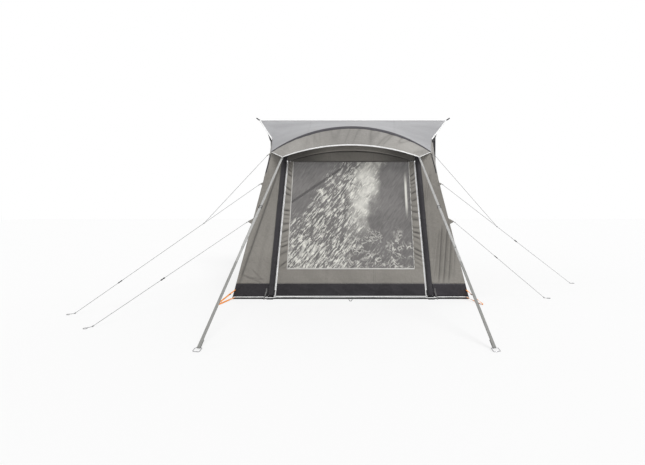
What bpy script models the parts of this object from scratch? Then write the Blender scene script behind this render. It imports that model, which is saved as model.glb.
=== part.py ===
"""Inflatable awning: one air beam frame, a ruled roof, a front that leans back, and its straps and guys."""

import math

import bmesh
import bpy
from mathutils import Vector

for old in list(bpy.data.objects):
    bpy.data.objects.remove(old)

# Driving dimensions, in metres
BASE_WIDTH = 2.60
DEPTH = 2.00
RAIL_HEIGHT = 2.435
RAIL_LENGTH = 3.06
ROOF_REAR_WIDTH = 2.60
EAVE_WIDTH = 1.864
EAVE_HEIGHT = 1.6525
ARCH_HEIGHT = 1.960
ARCH_SETBACK = 0.294
VISOR_WIDTH = 1.542
VISOR_HEIGHT = 1.700
VISOR_CORNER_HEIGHT = 1.574
VISOR_SETBACK = 0.050
VISOR_CORNER_SETBACK = 0.100
STRAP_REACH = 1.488
BEAM_DIAMETER = 0.064
LEG_FOOT_WIDTH = 1.754
LEG_HEAD_WIDTH = 1.548
FABRIC = 0.003
GAP = 0.0003
SEAM = 0.002
PIPING = 0.008
WELD = 0.00001

SIDES = (("left", -1), ("right", 1))
PLAIN_COLUMNS = 3
STRAP_POINTS = 5
SMOOTH_BELOW = 40
LEAN = math.atan2(ARCH_SETBACK, ARCH_HEIGHT)
REAR_Y = (DEPTH + STRAP_REACH) / 2
FRONT_Y = REAR_Y - DEPTH
HALF_BASE = BASE_WIDTH / 2
HALF_EAVE = EAVE_WIDTH / 2
HALF_REAR = ROOF_REAR_WIDTH / 2
HALF_RAIL = RAIL_LENGTH / 2
BEAM_R = BEAM_DIAMETER / 2
PIPING_R = PIPING / 2
UP = Vector((0, 0, 1))
ACROSS = Vector((1, 0, 0))


def front(x, h, out=0.0):
    """A point of the leaning front: x across, h up its slope, out towards the viewer."""
    y = FRONT_Y + h * math.sin(LEAN) - out * math.cos(LEAN)
    return Vector((x, y, h * math.cos(LEAN) + out * math.sin(LEAN)))


FRONT_OUT = front(0, 0, 1) - front(0, 0)
FRONT_UP = front(0, 1) - front(0, 0)


def spread(low, high, count):
    """Evenly spaced values from low to high."""
    return [low + (high - low) * i / (count - 1) for i in range(count)]


def mirrored(points, side):
    return [Vector((p.x * side, p.y, p.z)) for p in points]


def arc_radius(half_width, drop):
    return (half_width**2 + drop**2) / (2 * drop)


def grid(rows, holes=()):
    """A sheet of quads through rows of points, without the cells named in holes."""
    verts = [p for row in rows for p in row]
    wide = len(rows[0])
    faces = []
    for i in range(len(rows) - 1):
        for j in range(wide - 1):
            if (i, j) not in holes:
                a = i * wide + j
                faces.append((a, a + 1, a + wide + 1, a + wide))
    return verts, faces


def prism(outline, shift):
    """A closed solid: a flat outline pushed along shift."""
    n = len(outline)
    verts = list(outline) + [p + shift for p in outline]
    faces = [tuple(range(n)), tuple(range(n, 2 * n))]
    faces += [(i, (i + 1) % n, (i + 1) % n + n, i + n) for i in range(n)]
    return verts, faces


def slotted(centre, along, across, size, slot):
    """A block of size (length, width, thickness) with a slot of (width, thickness) through its length."""
    along = along.normalized()
    across = across.normalized()
    through = along.cross(across)
    length, width, thick = size
    verts = []
    for end in (-1, 1):
        for w, t in ((width, thick), slot):
            for a, b in ((-1, -1), (1, -1), (1, 1), (-1, 1)):
                verts.append(centre + along * length * end / 2 + across * w * a / 2 + through * t * b / 2)
    faces = []
    for i in range(4):
        j = (i + 1) % 4
        faces.append((i, j, j + 4, i + 4))
        faces.append((i + 8, j + 8, j + 12, i + 12))
        faces.append((i, j, j + 8, i + 8))
        faces.append((i + 4, j + 4, j + 12, i + 12))
    return verts, faces


def ribbon(path, across):
    """The middle surface of a strap along path, as wide as the across vector."""
    return grid([[p - across / 2, p + across / 2] for p in path])


def rings(path, normal, radius, sides):
    """Circles of points round a path that lies in the plane of the given normal."""
    out = []
    for i, p in enumerate(path):
        tangent = (path[min(i + 1, len(path) - 1)] - path[max(i - 1, 0)]).normalized()
        side = tangent.cross(normal)
        for k in range(sides):
            angle = 2 * math.pi * k / sides
            out.append(p + normal * radius * math.cos(angle) + side * radius * math.sin(angle))
    return out


def rod(path, normal, radius, sides):
    """A solid round bar along a path."""
    verts = rings(path, normal, radius, sides)
    last = len(verts) - sides
    faces = [tuple(range(sides)), tuple(range(last, last + sides))]
    for i in range(len(path) - 1):
        for k in range(sides):
            a = i * sides + k
            b = i * sides + (k + 1) % sides
            faces.append((a, b, b + sides, a + sides))
    return verts, faces


def pipe(path, normal, outer, inner, sides):
    """A round pipe along a path, open at both ends."""
    verts = rings(path, normal, outer, sides)
    shift = len(verts)
    verts += rings(path, normal, inner, sides)
    faces = []
    for i in range(len(path) - 1):
        for k in range(sides):
            a = i * sides + k
            b = i * sides + (k + 1) % sides
            faces.append((a, b, b + sides, a + sides))
            faces.append((a + shift, b + shift, b + sides + shift, a + sides + shift))
    for start in (0, shift - sides):
        for k in range(sides):
            a = start + k
            b = start + (k + 1) % sides
            faces.append((a, b, b + shift, a + shift))
    return verts, faces


def finish(name, data, colour, roughness, metallic, pivot=None):
    """Links an object with its own material, its origin on its joint's axis where it has one."""
    obj = bpy.data.objects.new(name, data)
    bpy.context.collection.objects.link(obj)
    material = bpy.data.materials.new(name)
    material.use_nodes = True
    shader = material.node_tree.nodes["Principled BSDF"]
    shader.inputs["Base Color"].default_value = (*colour, 1)
    shader.inputs["Roughness"].default_value = roughness
    shader.inputs["Metallic"].default_value = metallic
    data.materials.append(material)
    if pivot is not None:
        obj.location = pivot
    return obj


def make(name, shapes, colour, roughness=0.8, metallic=0.0, thickness=0.0, pivot=None, smooth=False):
    """One named piece from shapes of points and faces; a thickness makes sheets solid."""
    bm = bmesh.new()
    shift = pivot or Vector()
    for verts, faces in shapes:
        made = [bm.verts.new(p - shift) for p in verts]
        for face in faces:
            bm.faces.new([made[i] for i in face])
    bmesh.ops.remove_doubles(bm, verts=bm.verts, dist=WELD)
    bmesh.ops.delete(bm, geom=[v for v in bm.verts if not v.link_faces], context="VERTS")
    bmesh.ops.recalc_face_normals(bm, faces=bm.faces)
    mesh = bpy.data.meshes.new(name)
    bm.to_mesh(mesh)
    bm.free()
    obj = finish(name, mesh, colour, roughness, metallic, pivot)
    if thickness:
        wall = obj.modifiers.new("wall", "SOLIDIFY")
        wall.thickness = thickness
        wall.offset = 0
        wall.use_even_offset = True
    if smooth:
        mesh.shade_smooth()
        mesh.set_sharp_from_angle(angle=math.radians(SMOOTH_BELOW))
    return obj


def cord(name, path, radius, colour, resolution=2, closed=False, roughness=0.8, metallic=0.0, pivot=None):
    """A round cord along a path, with filled ends."""
    curve = bpy.data.curves.new(name, "CURVE")
    curve.dimensions = "3D"
    curve.bevel_depth = radius
    curve.bevel_resolution = resolution
    curve.use_fill_caps = not closed
    shift = pivot or Vector()
    spline = curve.splines.new("POLY")
    spline.points.add(len(path) - 1)
    spline.use_cyclic_u = closed
    for point, place in zip(spline.points, path):
        point.co = (*(place - shift), 1)
    return finish(name, curve, colour, roughness, metallic, pivot)


# Colours of the real fabrics and fittings
GREY = (0.33, 0.33, 0.34)
WARM_GREY = (0.25, 0.24, 0.22)
STONE = (0.48, 0.46, 0.44)
CHARCOAL = (0.045, 0.04, 0.048)
BLACK = (0.015, 0.015, 0.017)
WHITE = (0.75, 0.75, 0.75)
WEBBING = (0.5, 0.5, 0.49)
STEEL = (0.45, 0.45, 0.47)
CLEAR = (0.3, 0.3, 0.29)
ORANGE = (0.9, 0.3, 0.06)

# The arch that roof and visor spring from, and the eave line back to the wall
ARCH_TOP = ARCH_HEIGHT / math.cos(LEAN)
ARCH_END = EAVE_HEIGHT / math.cos(LEAN)
ARCH_R = arc_radius(HALF_EAVE, ARCH_TOP - ARCH_END)
ARCH_SWEEP = math.asin(HALF_EAVE / ARCH_R)
BEAD_DIAMETER = 0.006
BEAD_R = BEAD_DIAMETER / 2
SHEET_REAR = REAR_Y - BEAD_DIAMETER - GAP


def arch(s):
    """The arch from s = -1 at the left eave to s = 1 at the right one."""
    angle = s * ARCH_SWEEP
    return front(ARCH_R * math.sin(angle), ARCH_TOP - ARCH_R + ARCH_R * math.cos(angle))


def arch_height(x):
    """How far up the front's slope the arch stands at x."""
    return ARCH_TOP - ARCH_R + math.sqrt(ARCH_R**2 - x**2)


def rail(s):
    return Vector((s * HALF_REAR, SHEET_REAR, RAIL_HEIGHT))


VISOR_R = arc_radius(VISOR_WIDTH / 2, VISOR_HEIGHT - VISOR_CORNER_HEIGHT)
VISOR_SWEEP = math.asin(VISOR_WIDTH / 2 / VISOR_R)


def visor_edge(s):
    """The visor's free front edge."""
    x = VISOR_R * math.sin(s * VISOR_SWEEP)
    z = VISOR_HEIGHT - VISOR_R + VISOR_R * math.cos(s * VISOR_SWEEP)
    setback = VISOR_SETBACK + (VISOR_CORNER_SETBACK - VISOR_SETBACK) * (2 * x / VISOR_WIDTH) ** 2
    return Vector((x, FRONT_Y + setback, z))


def eave(u):
    """The eave from u = 0 at the arch to u = 1 at the rail, on the right."""
    return arch(1).lerp(Vector((HALF_REAR, REAR_Y, RAIL_HEIGHT)), u)


# Roof sheet: every line from arch to rail is straight, and flat wings widen it to the rail's full length
ROOF_COLUMNS = 19
WING_START_SHARE = 0.315
ROOF_LOW_ROWS = 3
ROOF_HIGH_ROWS = 6
TIP_SHARE = 0.04
columns = spread(-1, 1, ROOF_COLUMNS)
wing_foot = eave(WING_START_SHARE)
wing_outer = Vector((HALF_RAIL, SHEET_REAR, RAIL_HEIGHT))
roof_shares = spread(0, WING_START_SHARE, ROOF_LOW_ROWS)
roof_shares += spread(WING_START_SHARE, 1, ROOF_HIGH_ROWS)[1:]
rows = []
for share in roof_shares:
    row = []
    for s in columns:
        reach = SEAM / (rail(s) - arch(s)).length
        row.append(arch(s).lerp(rail(s), reach + (1 - reach) * share))
    wing_share = max(0, (share - WING_START_SHARE) / (1 - WING_START_SHARE))
    outer = wing_foot.lerp(wing_outer, wing_share) if wing_share else row[-1]
    middle = row[-1].lerp(outer, 0.5)
    row += [middle, outer]
    row = mirrored([outer, middle], -1) + row
    rows.append(row)
last = len(rows[0]) - 2
bare = [(i, j) for i in range(ROOF_LOW_ROWS - 1) for j in (0, 1, last - 1, last)]
make("roof_sheet", [grid(rows, bare)], GREY, thickness=FABRIC)

# Piping on the wings' free edges
edge = (wing_outer - wing_foot).normalized()
away = (rail(1) - wing_foot).cross(edge).cross(edge).normalized()
if away.x < 0:
    away = -away
for name, side in SIDES:
    shift = away * (PIPING_R + GAP)
    path = [wing_foot.lerp(wing_outer, t) + shift for t in spread(TIP_SHARE, 1, ROOF_HIGH_ROWS)]
    cord("roof_piping_" + name, mirrored(path, side), PIPING_R, WHITE)

# Bead along the roof's rear edge, which slides into an awning rail
bead_y = REAR_Y - BEAD_R
bead_path = [Vector((x, bead_y, RAIL_HEIGHT)) for x in spread(-HALF_RAIL, HALF_RAIL, PLAIN_COLUMNS)]
cord("keder_bead", bead_path, BEAD_R, WHITE)

# Visor, its piping, and the band over the ridge
VISOR_ROWS = 5
rows = []
for i in range(VISOR_ROWS):
    row = []
    for s in columns:
        reach = SEAM / (visor_edge(s) - arch(s)).length
        row.append(arch(s).lerp(visor_edge(s), reach + (1 - reach) * i / (VISOR_ROWS - 1)))
    rows.append(row)
make("visor", [grid(rows)], STONE, thickness=FABRIC)


def visor_piping_point(s):
    """The middle of the piping that edges the visor."""
    fall = (visor_edge(s) - arch(s)).normalized()
    tangent = (visor_edge(s + TIP_SHARE) - visor_edge(s - TIP_SHARE)).normalized()
    square = (fall - tangent * fall.dot(tangent)).normalized()
    return visor_edge(s) + square * (PIPING_R + 2 * GAP)


cord("visor_piping", [visor_piping_point(s) for s in columns], PIPING_R, WHITE)

BAND_WIDTH = 0.036
BAND_THICKNESS = 0.002
BAND_LIFT = 0.0006
band_verts = []
band_faces = []
for s in columns:
    back = (rail(s) - arch(s)).normalized()
    fall = (visor_edge(s) - arch(s)).normalized()
    tangent = (arch(min(s + TIP_SHARE, 1)) - arch(max(s - TIP_SHARE, -1))).normalized()
    back_out = tangent.cross(back).normalized()
    fall_out = fall.cross(tangent).normalized()
    middle = (back_out + fall_out).normalized()
    spread_out = 1 / middle.dot(back_out)
    low = FABRIC / 2 + BAND_LIFT
    for lift in (low, low + BAND_THICKNESS):
        band_verts.append(arch(s) + back * BAND_WIDTH / 2 + back_out * lift)
        band_verts.append(arch(s) + middle * lift * spread_out)
        band_verts.append(arch(s) + fall * BAND_WIDTH / 2 + fall_out * lift)
RING = 6
OUTLINE = (0, 1, 2, 5, 4, 3)
for i in range(ROOF_COLUMNS - 1):
    for k in range(RING):
        a = i * RING + OUTLINE[k]
        b = i * RING + OUTLINE[(k + 1) % RING]
        band_faces.append((a, b, b + RING, a + RING))
for i in (0, ROOF_COLUMNS - 1):
    band_faces.append((i * RING, i * RING + 1, i * RING + 4, i * RING + 3))
    band_faces.append((i * RING + 1, i * RING + 2, i * RING + 5, i * RING + 4))
make("arch_band", [(band_verts, band_faces)], CHARCOAL)

# Air beam: two legs and an arch in one tube, inside a sleeve sewn to the front's seams
SLEEVE_WALL = 0.0015
BEAM_SIDES = 12
LEG_HEAD = 1.577
BEND_LENGTH = 0.140
BEND_POINTS = 7
ARCH_POINTS = 15
FOOT_HEIGHT = 0.026
SLEEVE_FOOT = 0.038
HALF_FOOT = LEG_FOOT_WIDTH / 2
HALF_HEAD = LEG_HEAD_WIDTH / 2


def leg_x(h):
    """How far out the leg's middle stands at height h up the front's slope."""
    return HALF_FOOT + (HALF_HEAD - HALF_FOOT) * h / LEG_HEAD


fall_angle = (visor_edge(0) - arch(0)).angle(-FRONT_UP)
BEAM_DROP = (BEAM_R + FABRIC / 2 + 2 * GAP) / math.sin(fall_angle)
BEAM_ARCH_R = ARCH_R - BEAM_DROP
ARCH_CENTRE = ARCH_TOP - ARCH_R
slope = (HALF_HEAD - HALF_FOOT) / LEG_HEAD
qa = 1 + slope**2
qb = 2 * (slope * HALF_FOOT - ARCH_CENTRE)
qc = HALF_FOOT**2 + ARCH_CENTRE**2 - BEAM_ARCH_R**2
CORNER_H = (-qb + math.sqrt(qb**2 - 4 * qa * qc)) / (2 * qa)
corner = Vector((leg_x(CORNER_H), CORNER_H))
corner_angle = math.atan2(corner.x, corner.y - ARCH_CENTRE)
bend_start = Vector((leg_x(CORNER_H - BEND_LENGTH), CORNER_H - BEND_LENGTH))
end_angle = corner_angle - BEND_LENGTH / BEAM_ARCH_R
bend_end = Vector((BEAM_ARCH_R * math.sin(end_angle), ARCH_CENTRE + BEAM_ARCH_R * math.cos(end_angle)))
bend = [bend_start.lerp(corner, t).lerp(corner.lerp(bend_end, t), t) for t in spread(0, 1, BEND_POINTS)]
over = []
for angle in spread(end_angle, -end_angle, ARCH_POINTS)[1:-1]:
    over.append(Vector((BEAM_ARCH_R * math.sin(angle), ARCH_CENTRE + BEAM_ARCH_R * math.cos(angle))))
foot = Vector((leg_x(SLEEVE_FOOT), SLEEVE_FOOT))


def other_side(points):
    return [Vector((-p.x, p.y)) for p in reversed(points)]


beam_line = bend + over + other_side(bend)
tube_line = [foot] + beam_line + other_side([foot])
tube_points = [front(p.x, p.y) for p in tube_line]
TUBE_R = BEAM_R - SLEEVE_WALL - GAP
make("air_beam", [rod(tube_points, FRONT_OUT, TUBE_R, BEAM_SIDES)], WHITE, smooth=True)
sleeve = pipe(tube_points, FRONT_OUT, BEAM_R, BEAM_R - SLEEVE_WALL, BEAM_SIDES)
make("beam_sleeve", [sleeve], CHARCOAL, smooth=True)

# Feet under the legs
FOOT_WIDTH = 0.080
FOOT_OFFSET = 0.005
FOOT_DEPTH = 0.060
FOOT_CHAMFER = 0.010
for name, side in SIDES:
    x = side * (HALF_FOOT + FOOT_OFFSET)
    half = FOOT_WIDTH / 2
    outline = [
        Vector((x - half, FRONT_Y - FOOT_DEPTH / 2, 0)),
        Vector((x + half, FRONT_Y - FOOT_DEPTH / 2, 0)),
        Vector((x + half, FRONT_Y - FOOT_DEPTH / 2, FOOT_HEIGHT - FOOT_CHAMFER)),
        Vector((x + half - FOOT_CHAMFER, FRONT_Y - FOOT_DEPTH / 2, FOOT_HEIGHT)),
        Vector((x - half + FOOT_CHAMFER, FRONT_Y - FOOT_DEPTH / 2, FOOT_HEIGHT)),
        Vector((x - half, FRONT_Y - FOOT_DEPTH / 2, FOOT_HEIGHT - FOOT_CHAMFER)),
    ]
    make("beam_foot_" + name, [prism(outline, Vector((0, FOOT_DEPTH, 0)))], BLACK, roughness=0.5)

# Air valve on the back of the left leg, and its screw cap
VALVE_HEIGHT = 0.300
VALVE_R = 0.018
VALVE_LENGTH = 0.010
CAP_R = 0.022
CAP_LENGTH = 0.012
VALVE_SIDES = 16


def disc(centre, axis, radius, length):
    """A short round bar that starts at centre."""
    side = axis.cross(ACROSS).normalized()
    outline = []
    for k in range(VALVE_SIDES):
        angle = 2 * math.pi * k / VALVE_SIDES
        outline.append(centre + ACROSS * radius * math.cos(angle) + side * radius * math.sin(angle))
    return prism(outline, axis * length)


valve_base = front(-leg_x(VALVE_HEIGHT), VALVE_HEIGHT, -(BEAM_R + GAP))
make("valve_body", [disc(valve_base, -FRONT_OUT, VALVE_R, VALVE_LENGTH)], BLACK, roughness=0.4, smooth=True)
cap_base = valve_base - FRONT_OUT * (VALVE_LENGTH + GAP)
make(
    "valve_cap", [disc(cap_base, -FRONT_OUT, CAP_R, CAP_LENGTH)], BLACK, roughness=0.4, smooth=True, pivot=cap_base
)

# Front panel between the zips, which opens by leaning forward over its foot
HEM_TOP = 0.028
HINGE_H = 0.032
PANEL_FOOT = 0.034
MUDWALL_TOP = 0.167
WINDOW_FOOT = 0.3286
WINDOW_HEAD = 1.556
STRIP_FOOT_WIDTH = 0.10794
STRIP_HEAD_WIDTH = 0.06677
WINDOW_LAP = 0.012
PVC = 0.001
PANEL_CENTRE = 1.680
PANEL_SHOULDER = 1.552
ZIP_HEAD = 1.550


def zip_x(h):
    """The zip's line, which runs close inside the leg."""
    return leg_x(h) - BEAM_R - GAP - PIPING_R


def panel_x(h):
    return zip_x(h) - PIPING_R - GAP


def panel_head(x):
    """The arched top edge of the panel."""
    return PANEL_CENTRE - (PANEL_CENTRE - PANEL_SHOULDER) * (x / panel_x(PANEL_SHOULDER)) ** 2


def window_x(h):
    """The window's edge, a gathered strip's width inside the panel's."""
    share = (h - WINDOW_FOOT) / (WINDOW_HEAD - WINDOW_FOOT)
    return panel_x(h) - STRIP_FOOT_WIDTH - (STRIP_HEAD_WIDTH - STRIP_FOOT_WIDTH) * share


panel_pivot = front(0, HINGE_H)
PLEATS = 24
PLEAT_DEPTH = 0.006
PLEAT_SHARES = (0.7, 0.3)
WINDOW_COLUMN_SHARES = (-1, -0.75, -0.5, -0.25, 0, 0.25, 0.5, 0.75, 1)


def panel_row(h, height_of, out):
    """One row of the panel: its edges, the pleated strips between zip and window, and the window's width."""
    edge_h = min(h, PANEL_SHOULDER - WINDOW_LAP / 2)
    strip = [(panel_x(edge_h), edge_h, 0)]
    for share in PLEAT_SHARES:
        x = window_x(h) + (panel_x(edge_h) - window_x(h)) * share
        strip.append((x, height_of(x), out))
    row = [front(-x, z, o) for x, z, o in strip]
    row += [front(window_x(h) * c, height_of(window_x(h) * c)) for c in WINDOW_COLUMN_SHARES]
    return row + [front(x, z, o) for x, z, o in reversed(strip)]


rows = [panel_row(MUDWALL_TOP + GAP, lambda x: MUDWALL_TOP + GAP, 0)]
for i, h in enumerate(spread(WINDOW_FOOT, WINDOW_HEAD, 2 * PLEATS + 1)):
    rows.append(panel_row(h, lambda x: h, PLEAT_DEPTH * (i % 2)))
head_row = panel_row(WINDOW_HEAD, panel_head, 0)
head_row[0] = front(-panel_x(PANEL_SHOULDER), PANEL_SHOULDER)
head_row[-1] = front(panel_x(PANEL_SHOULDER), PANEL_SHOULDER)
rows.append(head_row)
first = len(PLEAT_SHARES) + 1
hole = [(i, j) for i in range(1, 2 * PLEATS + 1) for j in range(first, first + len(WINDOW_COLUMN_SHARES) - 1)]
make("front_panel", [grid(rows, hole)], WARM_GREY, thickness=FABRIC, pivot=panel_pivot)

window_out = -(FABRIC / 2 + GAP + PVC / 2)
rows = []
for h in (WINDOW_FOOT - WINDOW_LAP, WINDOW_HEAD + WINDOW_LAP):
    half = window_x(h) + WINDOW_LAP
    rows.append([front(x, h, window_out) for x in spread(-half, half, PLAIN_COLUMNS)])
make("front_window", [grid(rows)], CLEAR, roughness=0.15, thickness=PVC, pivot=panel_pivot)

rows = []
for h in (PANEL_FOOT, MUDWALL_TOP):
    rows.append([front(x, h) for x in spread(-panel_x(h), panel_x(h), PLAIN_COLUMNS)])
make("panel_mudwall", [grid(rows)], CHARCOAL, thickness=FABRIC, pivot=panel_pivot)

# Zip piping beside the panel, and the sliders that run on it
for name, side in SIDES:
    path = [front(side * zip_x(h), h) for h in spread(HINGE_H, ZIP_HEAD, PLAIN_COLUMNS)]
    cord("zip_piping_" + name, path, PIPING_R, WHITE)

SLIDER_REST = 0.075
SLIDER_LENGTH = 0.022
SLIDER_THICKNESS = 0.006
PULL_LENGTH = 0.030
PULL_THICKNESS = 0.002


def slider(low, run, across, out):
    """A zip slider from low along run, with its pull hanging below it; out points away from the cloth."""
    run = run.normalized()
    steps = [(-PULL_LENGTH, 0), (SLIDER_LENGTH, 0), (SLIDER_LENGTH, SLIDER_THICKNESS), (0, SLIDER_THICKNESS)]
    steps += [(0, PULL_THICKNESS), (-PULL_LENGTH, PULL_THICKNESS)]
    return prism([low - across / 2 + run * a + out * b for a, b in steps], across)


for name, side in SIDES:
    low = front(side * zip_x(SLIDER_REST), SLIDER_REST, PIPING_R + GAP)
    run = front(side * zip_x(ZIP_HEAD), ZIP_HEAD) - front(side * zip_x(SLIDER_REST), SLIDER_REST)
    across = ACROSS * (PIPING - GAP)
    make("zip_slider_" + name, [slider(low, run, across, FRONT_OUT)], BLACK, roughness=0.4, pivot=low)

# Head panel above the top zip, up to the beam
HEAD_SEAM = 0.006
HEAD_START = 1.575
side_line = [Vector((leg_x(HEAD_START), HEAD_START))] + beam_line + [Vector((-leg_x(HEAD_START), HEAD_START))]
upper = []
for i, p in enumerate(side_line):
    along = side_line[min(i + 1, len(side_line) - 1)] - side_line[max(i - 1, 0)]
    inward = Vector((along.y, -along.x)).normalized()
    if inward.dot(Vector((0, ARCH_CENTRE)) - p) < 0:
        inward = -inward
    upper.append(p + inward * (BEAM_R + 2 * GAP))
half = panel_x(PANEL_SHOULDER)
lower = [Vector((x, panel_head(x) + HEAD_SEAM)) for x in spread(half, -half, len(upper))]
head_rows = [[front(p.x, p.y) for p in line] for line in (lower, upper)]
make("head_panel", [grid(head_rows)], WARM_GREY, thickness=FABRIC)

# Plain wings outside the legs, with soft upright folds and the tabs that the guys start from
FOLD_DEPTH = 0.006
FOLDS = 3
WING_COLUMNS = 13
WING_HEAD_INSET = 0.010
HEAD_GATHER = 0.150
TAB_TIP = 0.012
TAB_PLACES = {"eave": (1.640, 0.062, 0.024), "upper": (1.290, 0.050, 0.026), "lower": (0.856, 0.090, 0.052)}
WING_LEVEL_SHARES = (0.0, 0.152, 0.302, 0.588, 0.836)
WING_FOOT = MUDWALL_TOP + GAP
WING_LEVELS = [WING_FOOT + (PANEL_SHOULDER + HEAD_GATHER - WING_FOOT) * share for share in WING_LEVEL_SHARES]
for tab_h, tab_tall, tab_reach in TAB_PLACES.values():
    WING_LEVELS += [tab_h - tab_tall / 2, tab_h + tab_tall / 2]
WING_LEVELS = sorted(WING_LEVELS)[:-1]


def wing_edge(h):
    """The outer edge of the front, from the base corner to the eave."""
    return HALF_BASE + (HALF_EAVE - HALF_BASE) * h / ARCH_END


def wing_inner_x(h):
    return leg_x(h) + BEAM_R + GAP


def tab_end(place, side, past=0.0):
    """The middle of a tab's outer end, or a point past it."""
    h, tall, reach = TAB_PLACES[place]
    return front(side * (wing_edge(h) + reach + past), h)


for name, side in SIDES:
    rows = []
    for h in WING_LEVELS:
        swell = math.sin(math.pi * (h - WING_LEVELS[0]) / (WING_LEVELS[-1] - WING_LEVELS[0]))
        row = []
        for c in spread(0, 1, WING_COLUMNS):
            x = wing_inner_x(h) + (wing_edge(h) - wing_inner_x(h)) * c
            row.append(front(side * x, h, FOLD_DEPTH * swell * math.sin(2 * math.pi * FOLDS * c)))
        rows.append(row)
    row = []
    for x in spread(HALF_HEAD, HALF_EAVE, WING_COLUMNS):
        row.append(front(side * x, arch_height(x) - WING_HEAD_INSET))
    rows.append(row)
    shapes = [grid(rows)]
    for place, (h, tall, reach) in TAB_PLACES.items():
        i = min(range(len(WING_LEVELS)), key=lambda k: abs(WING_LEVELS[k] - (h - tall / 2)))
        tip = tab_end(place, side)
        tab_rows = [[rows[i][-1], tip - FRONT_UP * TAB_TIP / 2], [rows[i + 1][-1], tip + FRONT_UP * TAB_TIP / 2]]
        shapes.append(grid(tab_rows))
    make("wing_" + name, shapes, WARM_GREY, thickness=FABRIC)
    rows = []
    for h in ((HEM_TOP + 2 * GAP) / math.cos(LEAN), MUDWALL_TOP):
        rows.append([front(side * x, h) for x in spread(wing_inner_x(h), wing_edge(h), PLAIN_COLUMNS)])
    make("wing_mudwall_" + name, [grid(rows)], CHARCOAL, thickness=FABRIC)

# Hems along the ground, and the padded uprights at the rear
HEM = 0.006
FOOT_SPACE = FOOT_WIDTH / 2 + GAP
PAD_WIDTH = 0.100
PAD_DEPTH = 0.030
PAD_BELOW_RAIL = 0.017
PAD_TOP = RAIL_HEIGHT - PAD_BELOW_RAIL
PAD_CHAMFER = 0.010
near = FRONT_Y - HEM / 2
inner = HALF_FOOT + FOOT_OFFSET - FOOT_SPACE
outline = [Vector((-inner, near, 0)), Vector((inner, near, 0)), Vector((inner, near + HEM, 0))]
outline.append(Vector((-inner, near + HEM, 0)))
make("base_hem_front", [prism(outline, UP * HEM_TOP)], BLACK)
for name, side in SIDES:
    far = REAR_Y - PAD_DEPTH - GAP
    x = side * HALF_BASE
    start = HALF_FOOT + FOOT_OFFSET + FOOT_SPACE
    outline = [Vector((start, near, 0)), Vector((HALF_BASE + HEM / 2, near, 0))]
    outline += [Vector((HALF_BASE + HEM / 2, far, 0)), Vector((HALF_BASE - HEM / 2, far, 0))]
    outline += [Vector((HALF_BASE - HEM / 2, near + HEM, 0)), Vector((start, near + HEM, 0))]
    make("base_hem_" + name, [prism(mirrored(outline, side), UP * HEM_TOP)], BLACK)
    low = x - PAD_WIDTH / 2
    high = x + PAD_WIDTH / 2
    pad_front = REAR_Y - PAD_DEPTH
    outline = [Vector((low, REAR_Y, 0)), Vector((low, pad_front + PAD_CHAMFER, 0))]
    outline += [Vector((low + PAD_CHAMFER, pad_front, 0)), Vector((high - PAD_CHAMFER, pad_front, 0))]
    outline += [Vector((high, pad_front + PAD_CHAMFER, 0)), Vector((high, REAR_Y, 0))]
    make("rear_pad_" + name, [prism(outline, UP * PAD_TOP)], CHARCOAL)

# Side walls: straight lines from the ground to the eave, with a door at the back of each
DOOR_ZIP_SHARE = 0.60
DOOR_HEAD_SHARE = 0.88
DOOR_FOOT = 0.034
DOOR_CLEARANCE = 0.002
HINGE_SPACE = 0.0024
HINGE_STUB = 0.0015
WALL_FRONT = 0.0022
WALL_FRONT_RISE = 0.0015
WALL_HEAD = 0.0022
WALL_COLUMNS = 6
WALL_LEVELS = 6
eave_run = (eave(1) - eave(0)).y


def side_wall(side, u, share):
    """The side wall on a straight line u of the way back; share is how far up that line."""
    ground = Vector((HALF_BASE, FRONT_Y + DEPTH * u, 0))
    p = ground.lerp(eave(u), share)
    return Vector((p.x * side, p.y, p.z))


def wall_run(share):
    """The wall's depth from front to back at a share of its height."""
    return DEPTH + (eave_run - DEPTH) * share


def wall_start(share):
    return (WALL_FRONT + WALL_FRONT_RISE * share) / wall_run(share)


def before_pad(space):
    """An upright line that stays this far in front of the rear pad."""
    return lambda share: 1 - (PAD_DEPTH + space) / wall_run(share)


def beside_zip(space):
    return lambda share: DOOR_ZIP_SHARE + space / wall_run(share)


def wall_rows(side, low_at, high_at, foot_of, head_of):
    """Rows of the side wall between two upright lines and two edges."""
    rows = []
    for t in spread(0, 1, WALL_LEVELS):
        row = []
        for f in spread(0, 1, WALL_COLUMNS):
            u = low_at(t) + (high_at(t) - low_at(t)) * f
            share = foot_of(u) + (head_of(u) - foot_of(u)) * t
            u = low_at(share) + (high_at(share) - low_at(share)) * f
            row.append(side_wall(side, u, share))
        rows.append(row)
    return rows


def above_hem(u):
    return (HEM_TOP + 2 * GAP) / eave(u).z


def door_foot(u):
    return DOOR_FOOT / eave(u).z


def door_head(u):
    return DOOR_HEAD_SHARE - DOOR_CLEARANCE / eave(u).z


def head_foot(u):
    return DOOR_HEAD_SHARE


def wall_head(u):
    return 1 - WALL_HEAD / eave(u).z


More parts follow.
